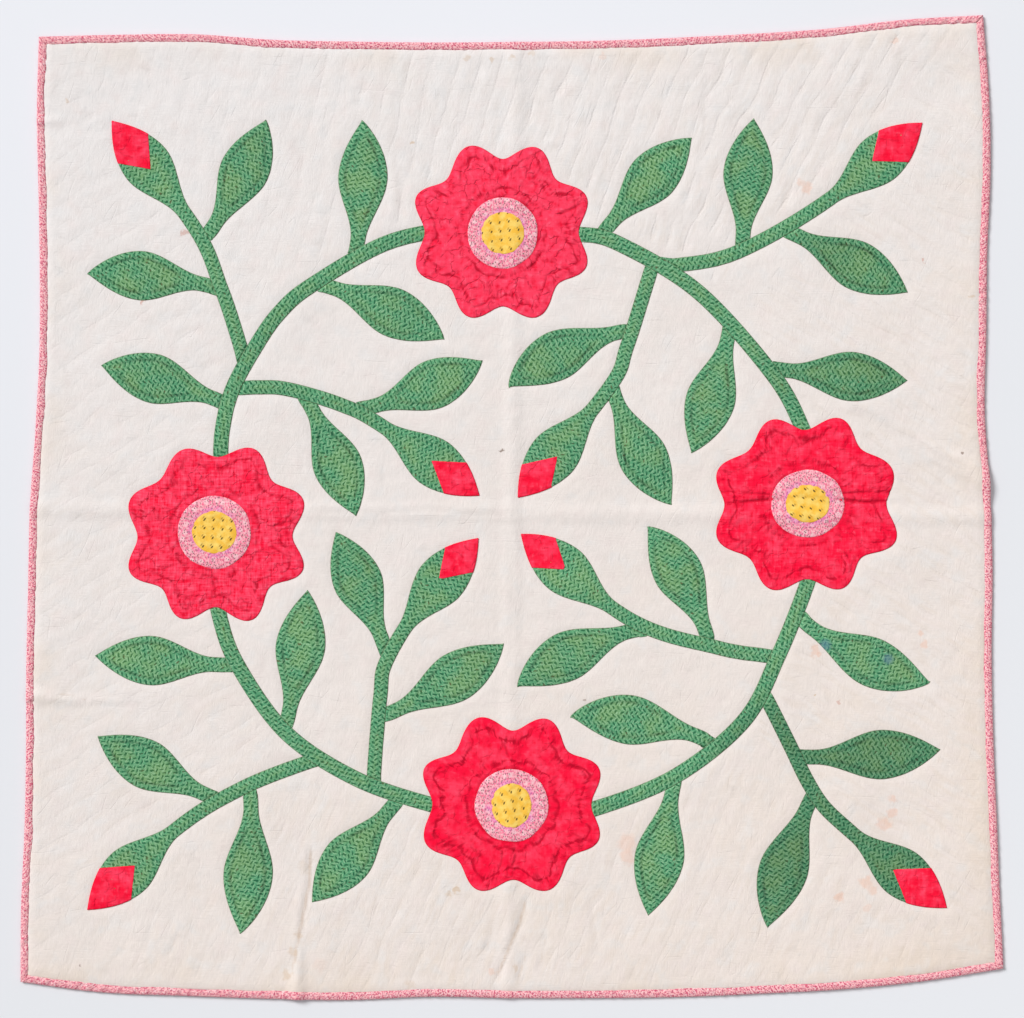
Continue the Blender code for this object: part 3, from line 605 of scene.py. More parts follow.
def rowsAt(p):
    # number of the row at each point, its distance along, and how plainly the row shows
    side, seams = sideOf(p)
    at, along, show = np.zeros(len(p)), np.zeros(len(p)), np.zeros(len(p))
    for number, (slant, plain) in enumerate(rowShapes.values()):
        here = side == number
        at[here] = p[here] @ rightOf(bearing(slant))
        along[here] = p[here] @ bearing(slant)
        show[here] = plain
    fan = side == 0       # the top rows open like a fan towards the right
    x, y = p[fan].T
    at[fan] = 0.914 * x - (0.297 + 0.69 * np.maximum(x, -0.1)) * (y - 0.40)
    show[fan] = 0.35 + 0.65 * smoothStep(-0.30, -0.02, x)
    bottom = side == 2
    x = p[bottom, 0]
    show[bottom] *= 0.50 + 0.40 * bump(x + 0.03, 0.13)
    at += 1.3 * mm * ripple(p, 70 * mm, 41)       # hand quilting is never quite straight
    show *= smoothStep(0, 14 * mm, seams) * (0.75 + 0.25 * ripple(p, 35 * mm, 42))
    return at / quilt["rowPitch"], along, show


# creases by depth and half width, mm, each a line of places on the photograph
creases = {
    (0.4, 4.0): (((600, 640), (565, 672), (540, 700)),),
    (0.5, 1.6): (((764, 499), (805, 497), (850, 499)),), (0.5, 1.8): (((90, 702), (120, 706), (150, 703)),),
    (0.5, 3.0): (((508, 520), (512, 600), (507, 690)), ((395, 150), (402, 190), (400, 230)),
                 ((707, 60), (704, 130))),
    (0.6, 1.3): (((506, 157), (505, 168), (507, 178)),), (0.6, 1.6): (((146, 945), (152, 925)),),
    (0.6, 2.2): (((592, 958), (597, 944), (589, 892)),), (0.6, 3.0): (((345, 150), (335, 175)),),
    (0.6, 3.5): (((60, 120), (95, 118)),), (0.7, 1.2): (((500, 752), (503, 744), (499, 736)),),
    (0.8, 1.2): (((708, 491), (745, 493), (780, 495)), ((160, 578), (166, 568), (176, 565))),
    (0.8, 1.3): (((560, 852), (553, 860), (551, 868)), ((432, 778), (440, 773), (449, 771)),
                 ((575, 764), (583, 772), (589, 781)), ((584, 838), (574, 834), (566, 838)),
                 ((270, 545), (280, 552), (292, 556)), ((150, 505), (158, 512), (160, 522)),
                 ((535, 255), (545, 262), (556, 262))),
    (0.8, 2.0): (((484, 956), (490, 936), (494, 918)), ((539, 973), (543, 950), (547, 930))),
    (0.9, 1.2): (((832, 494), (868, 492), (904, 492)),), (0.9, 1.6): (((166, 958), (178, 935)),),
    (0.9, 1.3): (((500, 870), (503, 857), (500, 845)), ((512, 868), (516, 855), (514, 846)),
                 ((470, 846), (478, 853), (486, 858)), ((212, 578), (216, 590), (215, 600)),
                 ((272, 527), (283, 523), (296, 521)), ((532, 176), (540, 181), (545, 190)),
                 ((488, 280), (491, 287), (490, 296)), ((432, 189), (440, 195), (445, 203)),
                 ((425, 256), (433, 263), (441, 270))),
    (0.9, 2.0): (((517, 981), (523, 965), (527, 951)),), (1.0, 1.4): (((508, 735), (506, 747), (509, 758)),),
    (1.0, 1.3): (((134, 563), (146, 560), (156, 552)), ((556, 216), (570, 210), (583, 203))),
    (1.0, 1.6): (((55, 694), (72, 696), (90, 700)),), (1.0, 3.0): (((796, 437), (810, 440), (822, 436)),),
    (1.0, 1.7): (((300, 510), (340, 511), (380, 513), (430, 509), (480, 514), (560, 510)),),
    (1.2, 1.1): (((917, 897), (923, 889), (931, 877)),), (1.2, 1.4): (((176, 595), (186, 598), (196, 597)),),
    (1.2, 2.2): (((494, 985), (508, 950), (519, 925), (529, 890)),),
    (1.3, 1.3): (((832, 499), (866, 502), (904, 501)),), (1.5, 1.4): (((722, 504), (752, 501), (782, 498)),),
    (1.3, 2.2): (((312, 836), (309, 885), (300, 930), (290, 984)),),
    (1.5, 4.0): (((847, 407), (900, 433), (980, 477)),),
}


def creaseDepth(p):
    # troughs along the listed lines, fading in and out at their ends
    depth = np.zeros(len(p))
    for (deep, wide), lines in creases.items():
        for pixels in lines:
            gap, along = lineGap(p, fromPhoto(*pixels), 5 * wide * mm)
            faded = smoothStep(0, 0.15, along) * smoothStep(1, 0.85, along)
            depth += deep * mm * bump(gap, wide * mm) * faded
    return depth


def outsideWreath(p):
    # 0 inside the ring of vines and 1 outside it
    centre, radius = np.array(quilt["wreath"][0]) * cm, quilt["wreath"][1] * cm
    return smoothStep(-4 * mm, 6 * mm, np.linalg.norm(p - centre, axis=1) - radius)


def underBinding(edge):
    # 0 in the open, 1 where the quilt thins to go into the binding
    return smoothStep(quilt["roll"], quilt["tuck"], edge) ** 1.5


def quiltTop(p):
    # padded height less the rows, echo lines, creases and puckers; returns what the cloth reads too
    motif = np.min([outlineGap(p, loop) for loop in motifLoops], axis=0)
    edge = edgeGap(p)
    at, along, show = rowsAt(p)
    outside = outsideWreath(p)
    show = show * outside * smoothStep(2 * mm, 8 * mm, motif) * smoothStep(8 * mm, 16 * mm, edge)
    offRow = np.abs(at - np.round(at)) * quilt["rowPitch"]
    z = quilt["thickness"] + lieOf(p)
    z -= show * quilt["rowDepth"] * (0.6 * bump(offRow, quilt["stitchWidth"])
                                     + 0.4 * bump(offRow, 2.4 * quilt["stitchWidth"]))
    inside = (1 - outside) * (0.6 + 0.4 * ripple(p, 90 * mm, 21))
    for number, echo in enumerate(quilt["echoes"]):
        z -= inside * quilt["echoDepth"] * bump(motif - echo, quilt["echoWidth"]) * (1 - 0.3 * number)
    z -= quilt["edgeDip"] * np.where(motif > 0, bump(motif, quilt["edgeDipWidth"]), 1)
    z -= quilt["underApplique"] * smoothStep(0.2 * mm, -1.5 * mm, motif)
    z += quilt["puff"] * smoothStep(2 * mm, 9 * mm, motif) * smoothStep(22 * mm, 9 * mm, motif)
    free = smoothStep(0, 5 * mm, motif)
    rowWise = np.column_stack((at * quilt["rowPitch"], along / 5))
    pucker = ripples(p, (0.06, 22, 5), (0.04, 13, 6)) + 0.07 * show * ripple(rowWise, 11 * mm, 44)
    stitched = show * bump(offRow, 6 * mm)
    pucker += 0.09 * stitched * np.sin(2 * math.pi * along / (13 * mm) + 2.0 * ripple(p, 40 * mm, 43))
    lines = (wrinkles(p, 40 * mm, 7, 90, 35, 0.14) * smoothStep(0.2, 1.2, ripple(p, 40 * mm, 8))
             + wrinkles(p, 40 * mm, 9, 0, 35, 0.14) * smoothStep(0.2, 1.2, ripple(p, 40 * mm, 10)))
    z += free * mm * (pucker - 0.14 * lines) * smoothStep(7 * mm, 14 * mm, edge)
    crease = creaseDepth(p)
    z -= crease * (0.4 + 0.6 * free)
    z -= (quilt["thickness"] - quilt["edgeThickness"]) * underBinding(edge)
    return z, dict(rowAt=at, rowAlong=along / cm, rowShow=show, motif=motif / cm, edge=edge / cm,
                   lines=lines * free, crease=crease / mm)


def quiltBack(p):
    # flat on the floor but for the folds, drawn up beside the binding and at the stitched rows
    at, _, show = rowsAt(p)
    offRow = np.abs(at - np.round(at)) * quilt["rowPitch"]
    drawn = 0.35 * show * outsideWreath(p) * bump(offRow, 4 * mm) + 0.1 * (1 + ripple(p, 30 * mm, 12) / 3)
    return foldRise(p) + drawn * mm + quilt["edgeLift"] * underBinding(edgeGap(p))


white = {"stitch": 3.6, "cornerFrom": 780.0, "cornerTo": 900.0, "stainStray": 14.0}      # mm


def whiteCotton():
    # noises stretched and shaped into threads, creases and age, on the quilting's own measures, with painted
    # shade in the quilted grooves, creases and wrinkles and round the applique
    cloth = Cloth("white cotton", 0.92, 0.05)
    x, y = cloth.place()
    rowAt, rowAlong, rowShow, edge, lines, motif, crease = cloth.stored(
        "rowAt", "rowAlong", "rowShow", "edge", "lines", "motif", "crease")

    # quilted rows: a thin line that wavers and fades in places, drawn darker as painted shade in the groove,
    # a dash a stitch, soft streaks beside it
    along, pitch = rowAlong * (cm / mm), quilt["rowPitch"] / mm
    side = ((rowAt + 0.5).fract() - 0.5) * pitch + cloth.speckle(x, y, 0.09, 2.0, 2.0) * 2.8 - 1.4
    pulls = side.size().soft(1.5, 0.1) * rowShow * cloth.speckle(x, y, 0.05, 1.0, 9.0).soft(0.28, 0.50)
    dashes = ((along / white["stitch"]).fract() - 0.5).size().soft(0.30, 0.20)
    stitch = side.size().soft(0.9, 0.3) * rowShow * dashes
    streaks = (cloth.noise(rowAt * 3.2, along * 0.035, 2.0, 4.0) - 0.5) * rowShow

    # threads that show as gauze, across in some patches and down in others
    acrossThreads = cloth.noise(x * 0.09, y * 0.9, 2.0) - 0.5
    downThreads = cloth.noise(x * 0.9, y * 0.09, 2.0, 7.0) - 0.5
    patches = cloth.speckle(x, y, 0.045, 2.0, 17.0)
    gauze = downThreads * patches.soft(0.40, 0.58) + acrossThreads * patches.soft(0.58, 0.40)
    crinkle = cloth.noise(x * 0.30 - y * 0.12, y * 0.10 + x * 0.04, 2.0, 71.0) - 0.5

    def creased(u, v, shift, sparse):
        # thin lines where a stretched noise passes through its middle, in some places only
        line = (cloth.noise(u, v, 0.0, shift) - 0.5).size().soft(0.022, 0.002)
        return line * cloth.speckle(x, y, 0.04, 1.0, shift + 10.0).soft(sparse, sparse + 0.14)

    thin = (creased(x * 0.060 - y * 0.030, x * 0.006 + y * 0.012, 51.0, 0.52)
            + creased(x * 0.009, y * 0.060, 57.0, 0.56))

    # yellowed towards the lower right and the edges, with warmer and cooler patches, and handled corners;
    # browner in the streaks' low parts where yellowed and along the creases low on the quilt
    warm = (x * 0.00038 - y * 0.00066 + 0.5).most(0.0).least(1.0)
    age = cloth.speckle(x, y, 0.012, 3.0, 11.0).soft(0.40, 0.70)
    corner = (x.size() + y.size()).soft(white["cornerFrom"], white["cornerTo"])
    blush = cloth.speckle(x, y, 0.05, 2.0, 23.0)
    colour = cloth.coats(
        (0.872, 0.832, 0.822), (warm, (0.852, 0.752, 0.692)),
        (age * (edge.soft(5.0, 0.4) * 0.45 + warm * 0.22), (0.835, 0.700, 0.585)),
        (corner * (warm - 0.36) * (warm - 0.36) * 1.1, (0.720, 0.600, 0.500)),
        (blush.soft(0.50, 0.70) * 0.30, (0.860, 0.745, 0.715)),
        (blush.soft(0.48, 0.30) * 0.30, (0.800, 0.800, 0.800)),
        (streaks.soft(0.06, -0.12) * warm * 0.30, (0.790, 0.650, 0.530)),
        (crease.soft(0.45, 1.1) * y.soft(-110.0, -180.0) * 0.30, (0.62, 0.42, 0.27)))
    # lighter and darker with the gauze, streaks and crinkle; darker as painted shade along the pulled
    # grooves, thin creases, wrinkle lines and creases, and in a thin ring round the applique
    colour = cloth.shade(colour, 0.985 + gauze * 0.17 + streaks * 0.07 - pulls * 0.048 - thin * 0.030
                         - lines * 0.03 - crease * 0.040 - motif.soft(0.12, 0.0) * 0.03 + crinkle * 0.085)
    stray = white["stainStray"]
    strayX, strayY = (cloth.speckle(x, y, 0.14, 4.0, shift) * stray - stray / 2 for shift in (33.0, 37.0))
    spot = cloth.spot(x + strayX, y + strayY)
    for hue, spots in stains.items():
        for pixel, size, strength in spots:
            away = spot.awayFrom(pixel)
            stain = away.soft(size * 1.35, size * 0.35) * (away.soft(size * 0.2, size * 0.7) * 0.25 + 0.75)
            colour = cloth.mix(stain * strength, colour, hue)
    return cloth.finish(colour, cloth.weave(x, y) * 0.02 + gauze * 0.17 + stitch * 0.10 - pulls * 0.21
                        - thin * 0.12 + streaks * 0.35 + crinkle * 0.24
                        + cloth.speckle(x, y, 0.2, 2.0, 31.0) * 0.07)


# by colour: place on the photograph, radius mm, strength
stains = {
    (0.60, 0.38, 0.18): (      # tan
        ((467, 58), 3.4, 0.35), ((492, 60), 2.6, 0.45), ((512, 57), 3.4, 0.35), ((532, 54), 3.0, 0.3),
        ((412, 143), 2.2, 0.60), ((67, 101), 2.4, 0.4), ((457, 891), 3.6, 0.50), ((448, 893), 3.0, 0.35),
        ((287, 974), 5.0, 0.35), ((293, 952), 4.5, 0.30), ((305, 868), 6.0, 0.18), ((299, 935), 4.0, 0.25),
        ((972, 297), 2.6, 0.45), ((814, 696), 1.8, 0.65), ((515, 969), 3.0, 0.35), ((410, 985), 5.0, 0.22)),
    (0.86, 0.50, 0.36): (      # peach
        ((603, 56), 3.6, 0.30), ((895, 40), 4.0, 0.45), ((807, 188), 5.5, 0.50), ((800, 183), 3.5, 0.40),
        ((627, 843), 9.0, 0.42), ((628, 857), 8.0, 0.46), ((815, 650), 5.5, 0.50), ((819, 655), 3.5, 0.50),
        ((921, 633), 3.5, 0.50), ((924, 645), 4.0, 0.50), ((884, 824), 7.0, 0.50), ((892, 813), 5.0, 0.50),
        ((893, 800), 4.0, 0.45), ((866, 882), 6.0, 0.50), ((873, 890), 5.0, 0.45), ((840, 897), 4.5, 0.55),
        ((867, 908), 4.0, 0.30), ((856, 396), 5.0, 0.40), ((320, 965), 7.0, 0.15), ((492, 972), 3.6, 0.40)),
    (0.55, 0.16, 0.08): (      # rust
        ((185, 232), 2.6, 0.50), ((142, 303), 2.2, 0.60), ((143, 296), 1.5, 0.50), ((924, 261), 2.0, 0.55),
        ((840, 703), 1.5, 0.45)),
    (0.16, 0.08, 0.04): (      # brown
        ((502, 450), 2.2, 0.85), ((960, 453), 2.0, 0.80), ((584, 700), 1.5, 0.60), ((80, 964), 1.6, 0.60)),
}


def plainBack():
    # faint threads both ways, yellowed in wide patches
    cloth = Cloth("plain back", 0.93, 0.08)
    x, y = cloth.place()
    threads = cloth.noise(x * 0.16, y * 1.6, 3.0) + cloth.noise(x * 1.6, y * 0.16, 3.0, 7.0)
    colour = cloth.mix(cloth.speckle(x, y, 0.006, 3.0).soft(0.4, 0.8) * 0.5,
                       (0.800, 0.755, 0.715), (0.770, 0.680, 0.570))
    return cloth.finish(cloth.shade(colour, 0.94 + threads * 0.05),
                        cloth.weave(x, y) * 0.03 + threads * 0.10)


def gridQuads(count):
    # a grid's squares, row by row, each anticlockwise
    row, column = np.meshgrid(np.arange(count), np.arange(count), indexing="ij")
    a = row * (count + 1) + column
    return np.stack((a, a + 1, a + count + 2, a + count + 1), axis=-1).reshape(-1, 4)


def gridRim(count):
    # numbers of a grid's border points, anticlockwise from its first corner
    k, side = np.arange(count), count + 1
    return np.concatenate((k, k * side + count, count * side + count - k, (count - k) * side))


def buildQuilt():
    # the top's fine grid and the back's coarser one, joined by faces round the rim
    top, back = (coonsGrid(quilt[name], quilt["tuck"]).reshape(-1, 2) for name in ("topGrid", "backGrid"))
    height, read = quiltTop(top)
    points = np.vstack((np.column_stack((top, height)), np.column_stack((back, quiltBack(back)))))
    topFaces, backFaces = gridQuads(quilt["topGrid"]), gridQuads(quilt["backGrid"])[:, ::-1] + len(top)
    ratio = quilt["topGrid"] // quilt["backGrid"]
    upper = np.append(gridRim(quilt["topGrid"]), 0)
    lower = np.append(gridRim(quilt["backGrid"]), 0) + len(top)
    rim = [lower[k:k + 2].tolist() + upper[ratio * k:ratio * (k + 1) + 1][::-1].tolist()
           for k in range(len(lower) - 1)]
    piece = addPiece("quiltedGround", points, topFaces.tolist() + backFaces.tolist() + rim, whiteCotton())
    piece.data.materials.append(plainBack())
    which = np.zeros(len(piece.data.polygons), np.int32)
    which[len(topFaces):] = 1
    piece.data.polygons.foreach_set("material_index", which)
    for name, values in read.items():
        store(piece, name, np.concatenate((values, np.zeros(len(back)))))
    dress(piece, "quilted_ground")


buildQuilt()
print("quilt laid")


# Binding: four strips folded over the edge

binding = {
    # distance in from the quilt's edge and height, round the folded strip, mm
    "section": ((7.6, 2.9), (7.8, 3.1), (7.65, 3.4), (7.0, 3.75), (5.4, 4.05), (3.4, 4.08), (1.9, 3.85),
                (0.8, 3.35), (0.15, 2.6), (0.0, 2.0), (0.15, 1.4), (0.8, 0.65), (1.9, 0.15), (3.4, 0.0),
                (5.2, 0.0), (6.8, 0.0), (7.6, 0.12), (7.5, 0.75), (6.9, 0.9), (3.0, 1.0), (1.6, 2.0),
                (3.0, 2.95), (6.9, 2.85)),
    "stations": 430, "width": 7.5 * mm, "waver": 0.35 * mm, "pucker": 0.18 * mm,
    "stitch": 5.5 * mm, "stitchDip": 0.25 * mm, "flat": (0.019, 0.955),
}


def pinkPrint():
    # dark red blots and pale veins on pink
    cloth = Cloth("pink print", 0.85)
    across, along = cloth.grain()
    blot = cloth.speckle(across, along, 0.50, 1.0)
    veins = (cloth.speckle(across, along, 0.42, 0.0, 4.0) - 0.5).size()
    colour = cloth.coats(
        (0.985, 0.475, 0.495), (blot.soft(0.47, 0.56), (0.680, 0.120, 0.200)),
        (veins.soft(0.060, 0.020) * 0.8, (0.940, 0.720, 0.730)),
        (cloth.speckle(across, along, 0.75, 0.0, 14.0).soft(0.60, 0.68) * 0.8, (0.42, 0.045, 0.120)),
        (cloth.speckle(across, along, 0.02, 2.0, 9.0).soft(0.50, 0.75) * 0.12, (0.90, 0.70, 0.68)))
    return cloth.finish(colour, cloth.weave(across, along) * 0.02 + blot * 0.05)


def buildBinding(name, points, step, material):
    # the section carried along the side; the free edge wavers and the cloth puckers between stitches
    count = binding["stations"] + 1
    section = np.array(binding["section"]) * mm
    run = lengthsAlong(points)
    inward, height = section[None, :, 0], section[None, :, 1]
    waver = binding["waver"] * ripple(points, 45 * mm, 31)[:, None]
    inward = inward + waver * (inward > 5 * mm) * (height > 2 * mm)
    share = np.clip(height / quilt["thickness"], 0, 1)
    plan = points[:, None] + step[:, None] * inward[..., None]
    flat = plan.reshape(-1, 2)
    swell = swellOf(flat).reshape(count, -1)
    puckers = binding["pucker"] * ripple(np.column_stack((run, 0 * run)), 11 * mm, 33, 0, 20)[:, None]
    stitched = (run[:, None] / binding["stitch"]) % 1 - 0.5
    dips = binding["stitchDip"] * bump(stitched, 0.22) * bump(inward - binding["width"], 1 * mm)
    z = height + foldRise(flat).reshape(count, -1) + share * (swell + puckers - dips * (height > 2 * mm))
    piece = tubePiece("binding" + name, np.concatenate((plan, z[..., None]), axis=2), material)
    storeGrain(piece, *np.broadcast_arrays(lengthsAlong(section), run[:, None]))
    dress(piece, "binding_" + name.lower())


pink = pinkPrint()
for name, (points, step) in quiltSides(binding["stations"]).items():
    buildBinding(name, points, step, pink)
print("binding sewn on")


# Patches laid on as closed pieces with a turned-under edge

patch = {
    "sink": 0.45 * mm, "edgeRound": 1.3 * mm, "edgeHeight": 0.78 * mm, "puff": 0.45 * mm,
    "under": 0.4 * mm, "across": 24, "backEvery": 4, "step": 1.5 * mm, "footUnder": 3.5 * mm,
    "vineUnder": 12 * mm,
    "echoInset": 6.9 * mm, "echoDepth": 0.5 * mm, "echoWidth": 1.1 * mm, "budEcho": 0.25, "dive": 0.35 * mm,
}


def rolledEdge(inset):
    # a quarter round at the turned edge, then a slow rise of the padding behind it
    return (patch["edgeHeight"] * quarterRound(inset, patch["edgeRound"])
            + patch["puff"] * smoothStep(1 * mm, 5.5 * mm, inset))


def offEdge(inset):
    # wrinkles start a little in from the turned edge, mm
    return mm * smoothStep(0.5 * mm, 3 * mm, inset)


def seatAt(p):
    # the padded height less a patch's sink, on the same folds and on half the creases
    return quilt["thickness"] - patch["sink"] + lieOf(p) - 0.5 * creaseDepth(p)


def lengthsUnder(strip, carrier, across, fromEnd, under):
    # for each line along the strip, the length at which it is far enough under what carries its end
    reach = np.linspace(0, 60 * mm, 241)
    length = strip.length - reach if fromEnd else reach
    gap = outlineGap(strip.at(length[:, None], across[None])[0], carrier).reshape(len(length), -1)
    deep = gap <= np.maximum(-under, 0.5 * gap.min(axis=0))
    meets = gap.min(axis=0) < 0
    found = length[len(length) - 1 - np.argmax(deep[::-1], axis=0)]
    return np.where(meets, found, found[meets].mean())


faceShares = np.sin(np.linspace(-math.pi / 2, math.pi / 2, patch["across"] + 1))
backShares = 0.995 * faceShares[::-patch["backEvery"]]
sectionShares = np.concatenate((faceShares, backShares))


def stripEnds():
    # each stretch of the back's edge with the face's shorter stretches above it
    every, count, faces = patch["backEvery"], len(backShares), []
    for k in range(count - 1):
        upper = list(range(every * k, every * (k + 1) + 1))
        lower = [len(faceShares) + count - 1 - n for n in (k + 1, k)]
        faces.append(upper + lower)
    return faces


def onBlade(half):
    # 0 on a stalk and 1 where the strip is wide enough for an echo line
    return smoothStep(10 * mm, 14 * mm, half)


def buildStrip(name, node, strip, starts, ends, lift, material, turn=0.0, echo=1.0):
    # rings of the section from the start lengths to the end lengths; lift gives the face's height
    across = sectionShares
    starts, ends = (np.interp(across, faceShares, v * np.ones(len(faceShares))) for v in (starts, ends))
    rings = int(np.ptp(np.append(starts, ends)) / patch["step"])
    t = np.concatenate(((0, 0.25 / rings, 0.6 / rings), np.linspace(0, 1, rings)[1:]))[:, None]
    length = starts + (ends - starts) * t
    rings = len(t)
    points, half, inset = strip.at(length, across[None])
    tucked = np.tile(np.arange(len(across)) >= len(faceShares), rings)
    z = seatAt(points) + np.where(tucked, -patch["under"], lift(points, half, inset, length.ravel()))
    grid = np.column_stack((points, z)).reshape(rings, -1, 3)
    piece = tubePiece(name, grid, material, stripEnds())
    # each patch is cut from its own place on the printed cloth
    acrossRun = np.tile(across, rings) * half + 5 * strip.table[0, 0]
    alongRun = length.ravel() + 5 * strip.table[0, 1]
    storeGrain(piece, *turned(acrossRun, alongRun, turn))
    store(piece, "inset", np.where(tucked, 0, inset) / mm)
    shown = echo * onBlade(half) * (0.75 + 0.25 * ripple(points, 25 * mm, 91))
    store(piece, "echoed", shown)
    dress(piece, node)
    seen = np.linspace(np.mean(starts), strip.length, 200)
    return piece, 2 * np.ptp(seen) * np.interp(seen, strip.lengthTo, strip.table[:, 4]).mean()


def bladeLift(seed, carrier, shown=1.0):
    # rolled edge and padding, an echo line inside the edge, fine wrinkles, and a foot that dives under
    def lift(points, half, inset, length):
        fade = smoothStep(-1 * mm, 2 * mm, outlineGap(points, carrier))
        echo = shown * patch["echoDepth"] * bump(inset - patch["echoInset"], patch["echoWidth"])
        fine = ripples(points, (0.10, 9, seed), (0.08, 4.5, seed + 50))
        z = rolledEdge(inset) - echo * onBlade(half) + fine * offEdge(inset)
        return z * fade - patch["dive"] * (1 - fade)
    return lift


greens = {
    "column": 4.1, "dash": 4.9,                                           # pitch of the print, mm
    "darker": (((835, 815), 110.0, 0.26), ((855, 321), 85.0, 0.13)),      # place, radius mm, how much
    "blots": (((825, 643), 6.5), ((888, 657), 6.0)),                      # another dye: place, radius mm
}


def greenPrint():
    # staggered columns of short dark dashes that lean left and right in turn, with painted shade at the
    # turned edge and in the echo groove
    cloth = Cloth("green print", 0.86)
    x, y = cloth.place()
    across, along = cloth.grain()
    inset, echoed = cloth.stored("inset", "echoed")
    wide, long = greens["column"], greens["dash"]
    driftU, shakeU, driftV, shakeV = (cloth.speckle(across, along, scale, 1.0, shift) for scale, shift in (
        (0.06, 1.0), (0.40, 2.0), (0.06, 8.0), (0.40, 9.0)))
    u = (across + driftU * 5.0 + shakeU * 2.0) / wide
    column = u.floor()
    odd = (column * 0.5).fract() * 2.0
    v = (along + driftV * 5.0 - shakeV * 2.4) / long + odd * 0.5
    du, dv = (u - column - 0.5) * wide, (v.fract() - 0.5) * long
    ragged = cloth.speckle(across, along, 0.8, 1.0, 5.0) * 1.8 - 0.9
    off = (dv - du * (odd * -1.1 + 0.6)).size()
    dash = (off + ragged * 0.6).soft(1.55, 0.30) * (du.size() + ragged * 0.7).soft(2.3, 1.1)
    pale = (off - 1.6).size().soft(1.0, 0.1) * cloth.speckle(across, along, 0.3, 1.0, 15.0).soft(0.40, 0.58)
    fade = cloth.speckle(across, along, 0.04, 2.0, 21.0)
    worn = cloth.speckle(across, along, 0.16, 2.0, 41.0)
    fuzz = cloth.speckle(across, along, 1.1, 1.0, 30.0)
    olive = fade.soft(0.35, 0.65) * (inset.soft(3.0, 9.0) * 0.75 + 0.25)
    ink = cloth.coats((0.018, 0.125, 0.056), (olive * 0.8, (0.050, 0.165, 0.052)),
                      (worn.soft(0.60, 0.70) * 0.5, (0.180, 0.130, 0.060)))
    # the print, with a brownish rim at the turned edge as painted shade
    colour = cloth.coats((0.105, 0.345, 0.175), (olive, (0.195, 0.380, 0.165)),
                         (pale * 0.7, (0.330, 0.560, 0.330)),
                         (dash * (worn.soft(0.22, 0.46) * 0.75 + 0.25), ink),
                         (inset.soft(1.2, 0.1) * 0.55, (0.165, 0.150, 0.085)))
    # some leaves on the right have darkened, and one has two spots of another dye
    spot, kept = cloth.spot(x + ragged * 2.0, y + fuzz * 4.0), 1.0
    for pixel, size, darker in greens["darker"]:
        kept = spot.awayFrom(pixel).soft(size * 1.35, size) * -darker + kept
    for pixel, size in greens["blots"]:
        colour = cloth.mix(spot.awayFrom(pixel).soft(size * 1.3, size * 0.3) * 0.6, colour,
                           (0.095, 0.200, 0.290))
    # the echo line inside the edge, darker as painted shade in its groove
    groove = (inset - 7.2 + shakeU * 2.0 - 1.0).size().soft(2.3, 0.3) * (fuzz + 0.4).least(1.0) * echoed
    tone = cloth.speckle(x, y, 0.011, 1.0, 45.0) - 0.5
    light = (0.88 + fuzz * 0.32 + tone * 0.25) * (1.0 - groove * 0.42) * kept
    return cloth.finish(cloth.shade(colour, light), cloth.weave(across, along) * 0.02 + fuzz * 0.10
                        + dash * -0.03 - groove * 0.22)


green = greenPrint()
for name, (start, end, _) in vines.items():
    strip = vineStrips[name]
    starts = lengthsUnder(strip, roseLoops[start], faceShares, False, patch["vineUnder"])
    ends = lengthsUnder(strip, roseLoops[end], faceShares, True, patch["vineUnder"])

    def vineLift(points, half, inset, length, start=start, end=end, seed=len(name) + ord(name[0])):
        gap = np.minimum(outlineGap(points, roseLoops[start]), outlineGap(points, roseLoops[end]))
        fade = smoothStep(-2 * mm, 1.5 * mm, gap)
        fine = ripples(points, (0.12, 9, seed), (0.08, 4.5, seed + 1))
        return (rolledEdge(inset) + fine * offEdge(inset)) * (0.15 + 0.85 * fade)

    piece, _ = buildStrip("vine" + name, "vine_" + name.lower(), strip, starts, ends, vineLift, green,
                             45.0)

for number, (name, strip) in enumerate(branchStrips.items()):
    carrier = vineStrips[name[:2]].outline()
    starts = lengthsUnder(strip, carrier, faceShares, False, patch["footUnder"])
    node = "branch_%s_%s" % (name[:2].lower(), name[2:].lower())
    piece, area = buildStrip("branch" + name, node, strip, starts, strip.length,
                             bladeLift(200 + number, carrier, patch["budEcho"]), green,
                             echo=patch["budEcho"])

for (quarter, number), strip in leafStrips.items():
    source, seed = leaves[quarter][number - 1][0], ord(quarter[1])
    carrier = (vineStrips[quarter] if source == "Vine" else branchStrips[quarter + source]).outline()
    starts = lengthsUnder(strip, carrier, faceShares, False, patch["footUnder"])
    piece, area = buildStrip("leaf%s%d" % (quarter, number), "leaf_%s_%d" % (quarter.lower(), number),
                             strip, starts, strip.length, bladeLift(number * 7 + seed, carrier),
                             green, 30 * math.sin(number * 2.4 + seed))
print("vines, branches and leaves sewn down")


# Red bud tips, each a kite over the end of its bud

tip = {
    "over": 0.45 * mm, "wider": 0.4 * mm, "fade": 0.1, "thready": 0.5,
    # mm back from the bud's tip to the inner, left and right corners; the inner one's place across
    "corners": {"NwOuter": (61, 36, 32, 0.0), "NwInner": (58, 29, 29, 0.0), "NeOuter": (62, 37, 35, -3.3),
                "NeInner": (56, 28, 27, -3.5), "SeOuter": (65, 36, 34, 2.7), "SeInner": (56, 29, 28, 1.3),
                "SwOuter": (64, 38, 37, 0.0), "SwInner": (56, 28, 28, -2.4)},
}


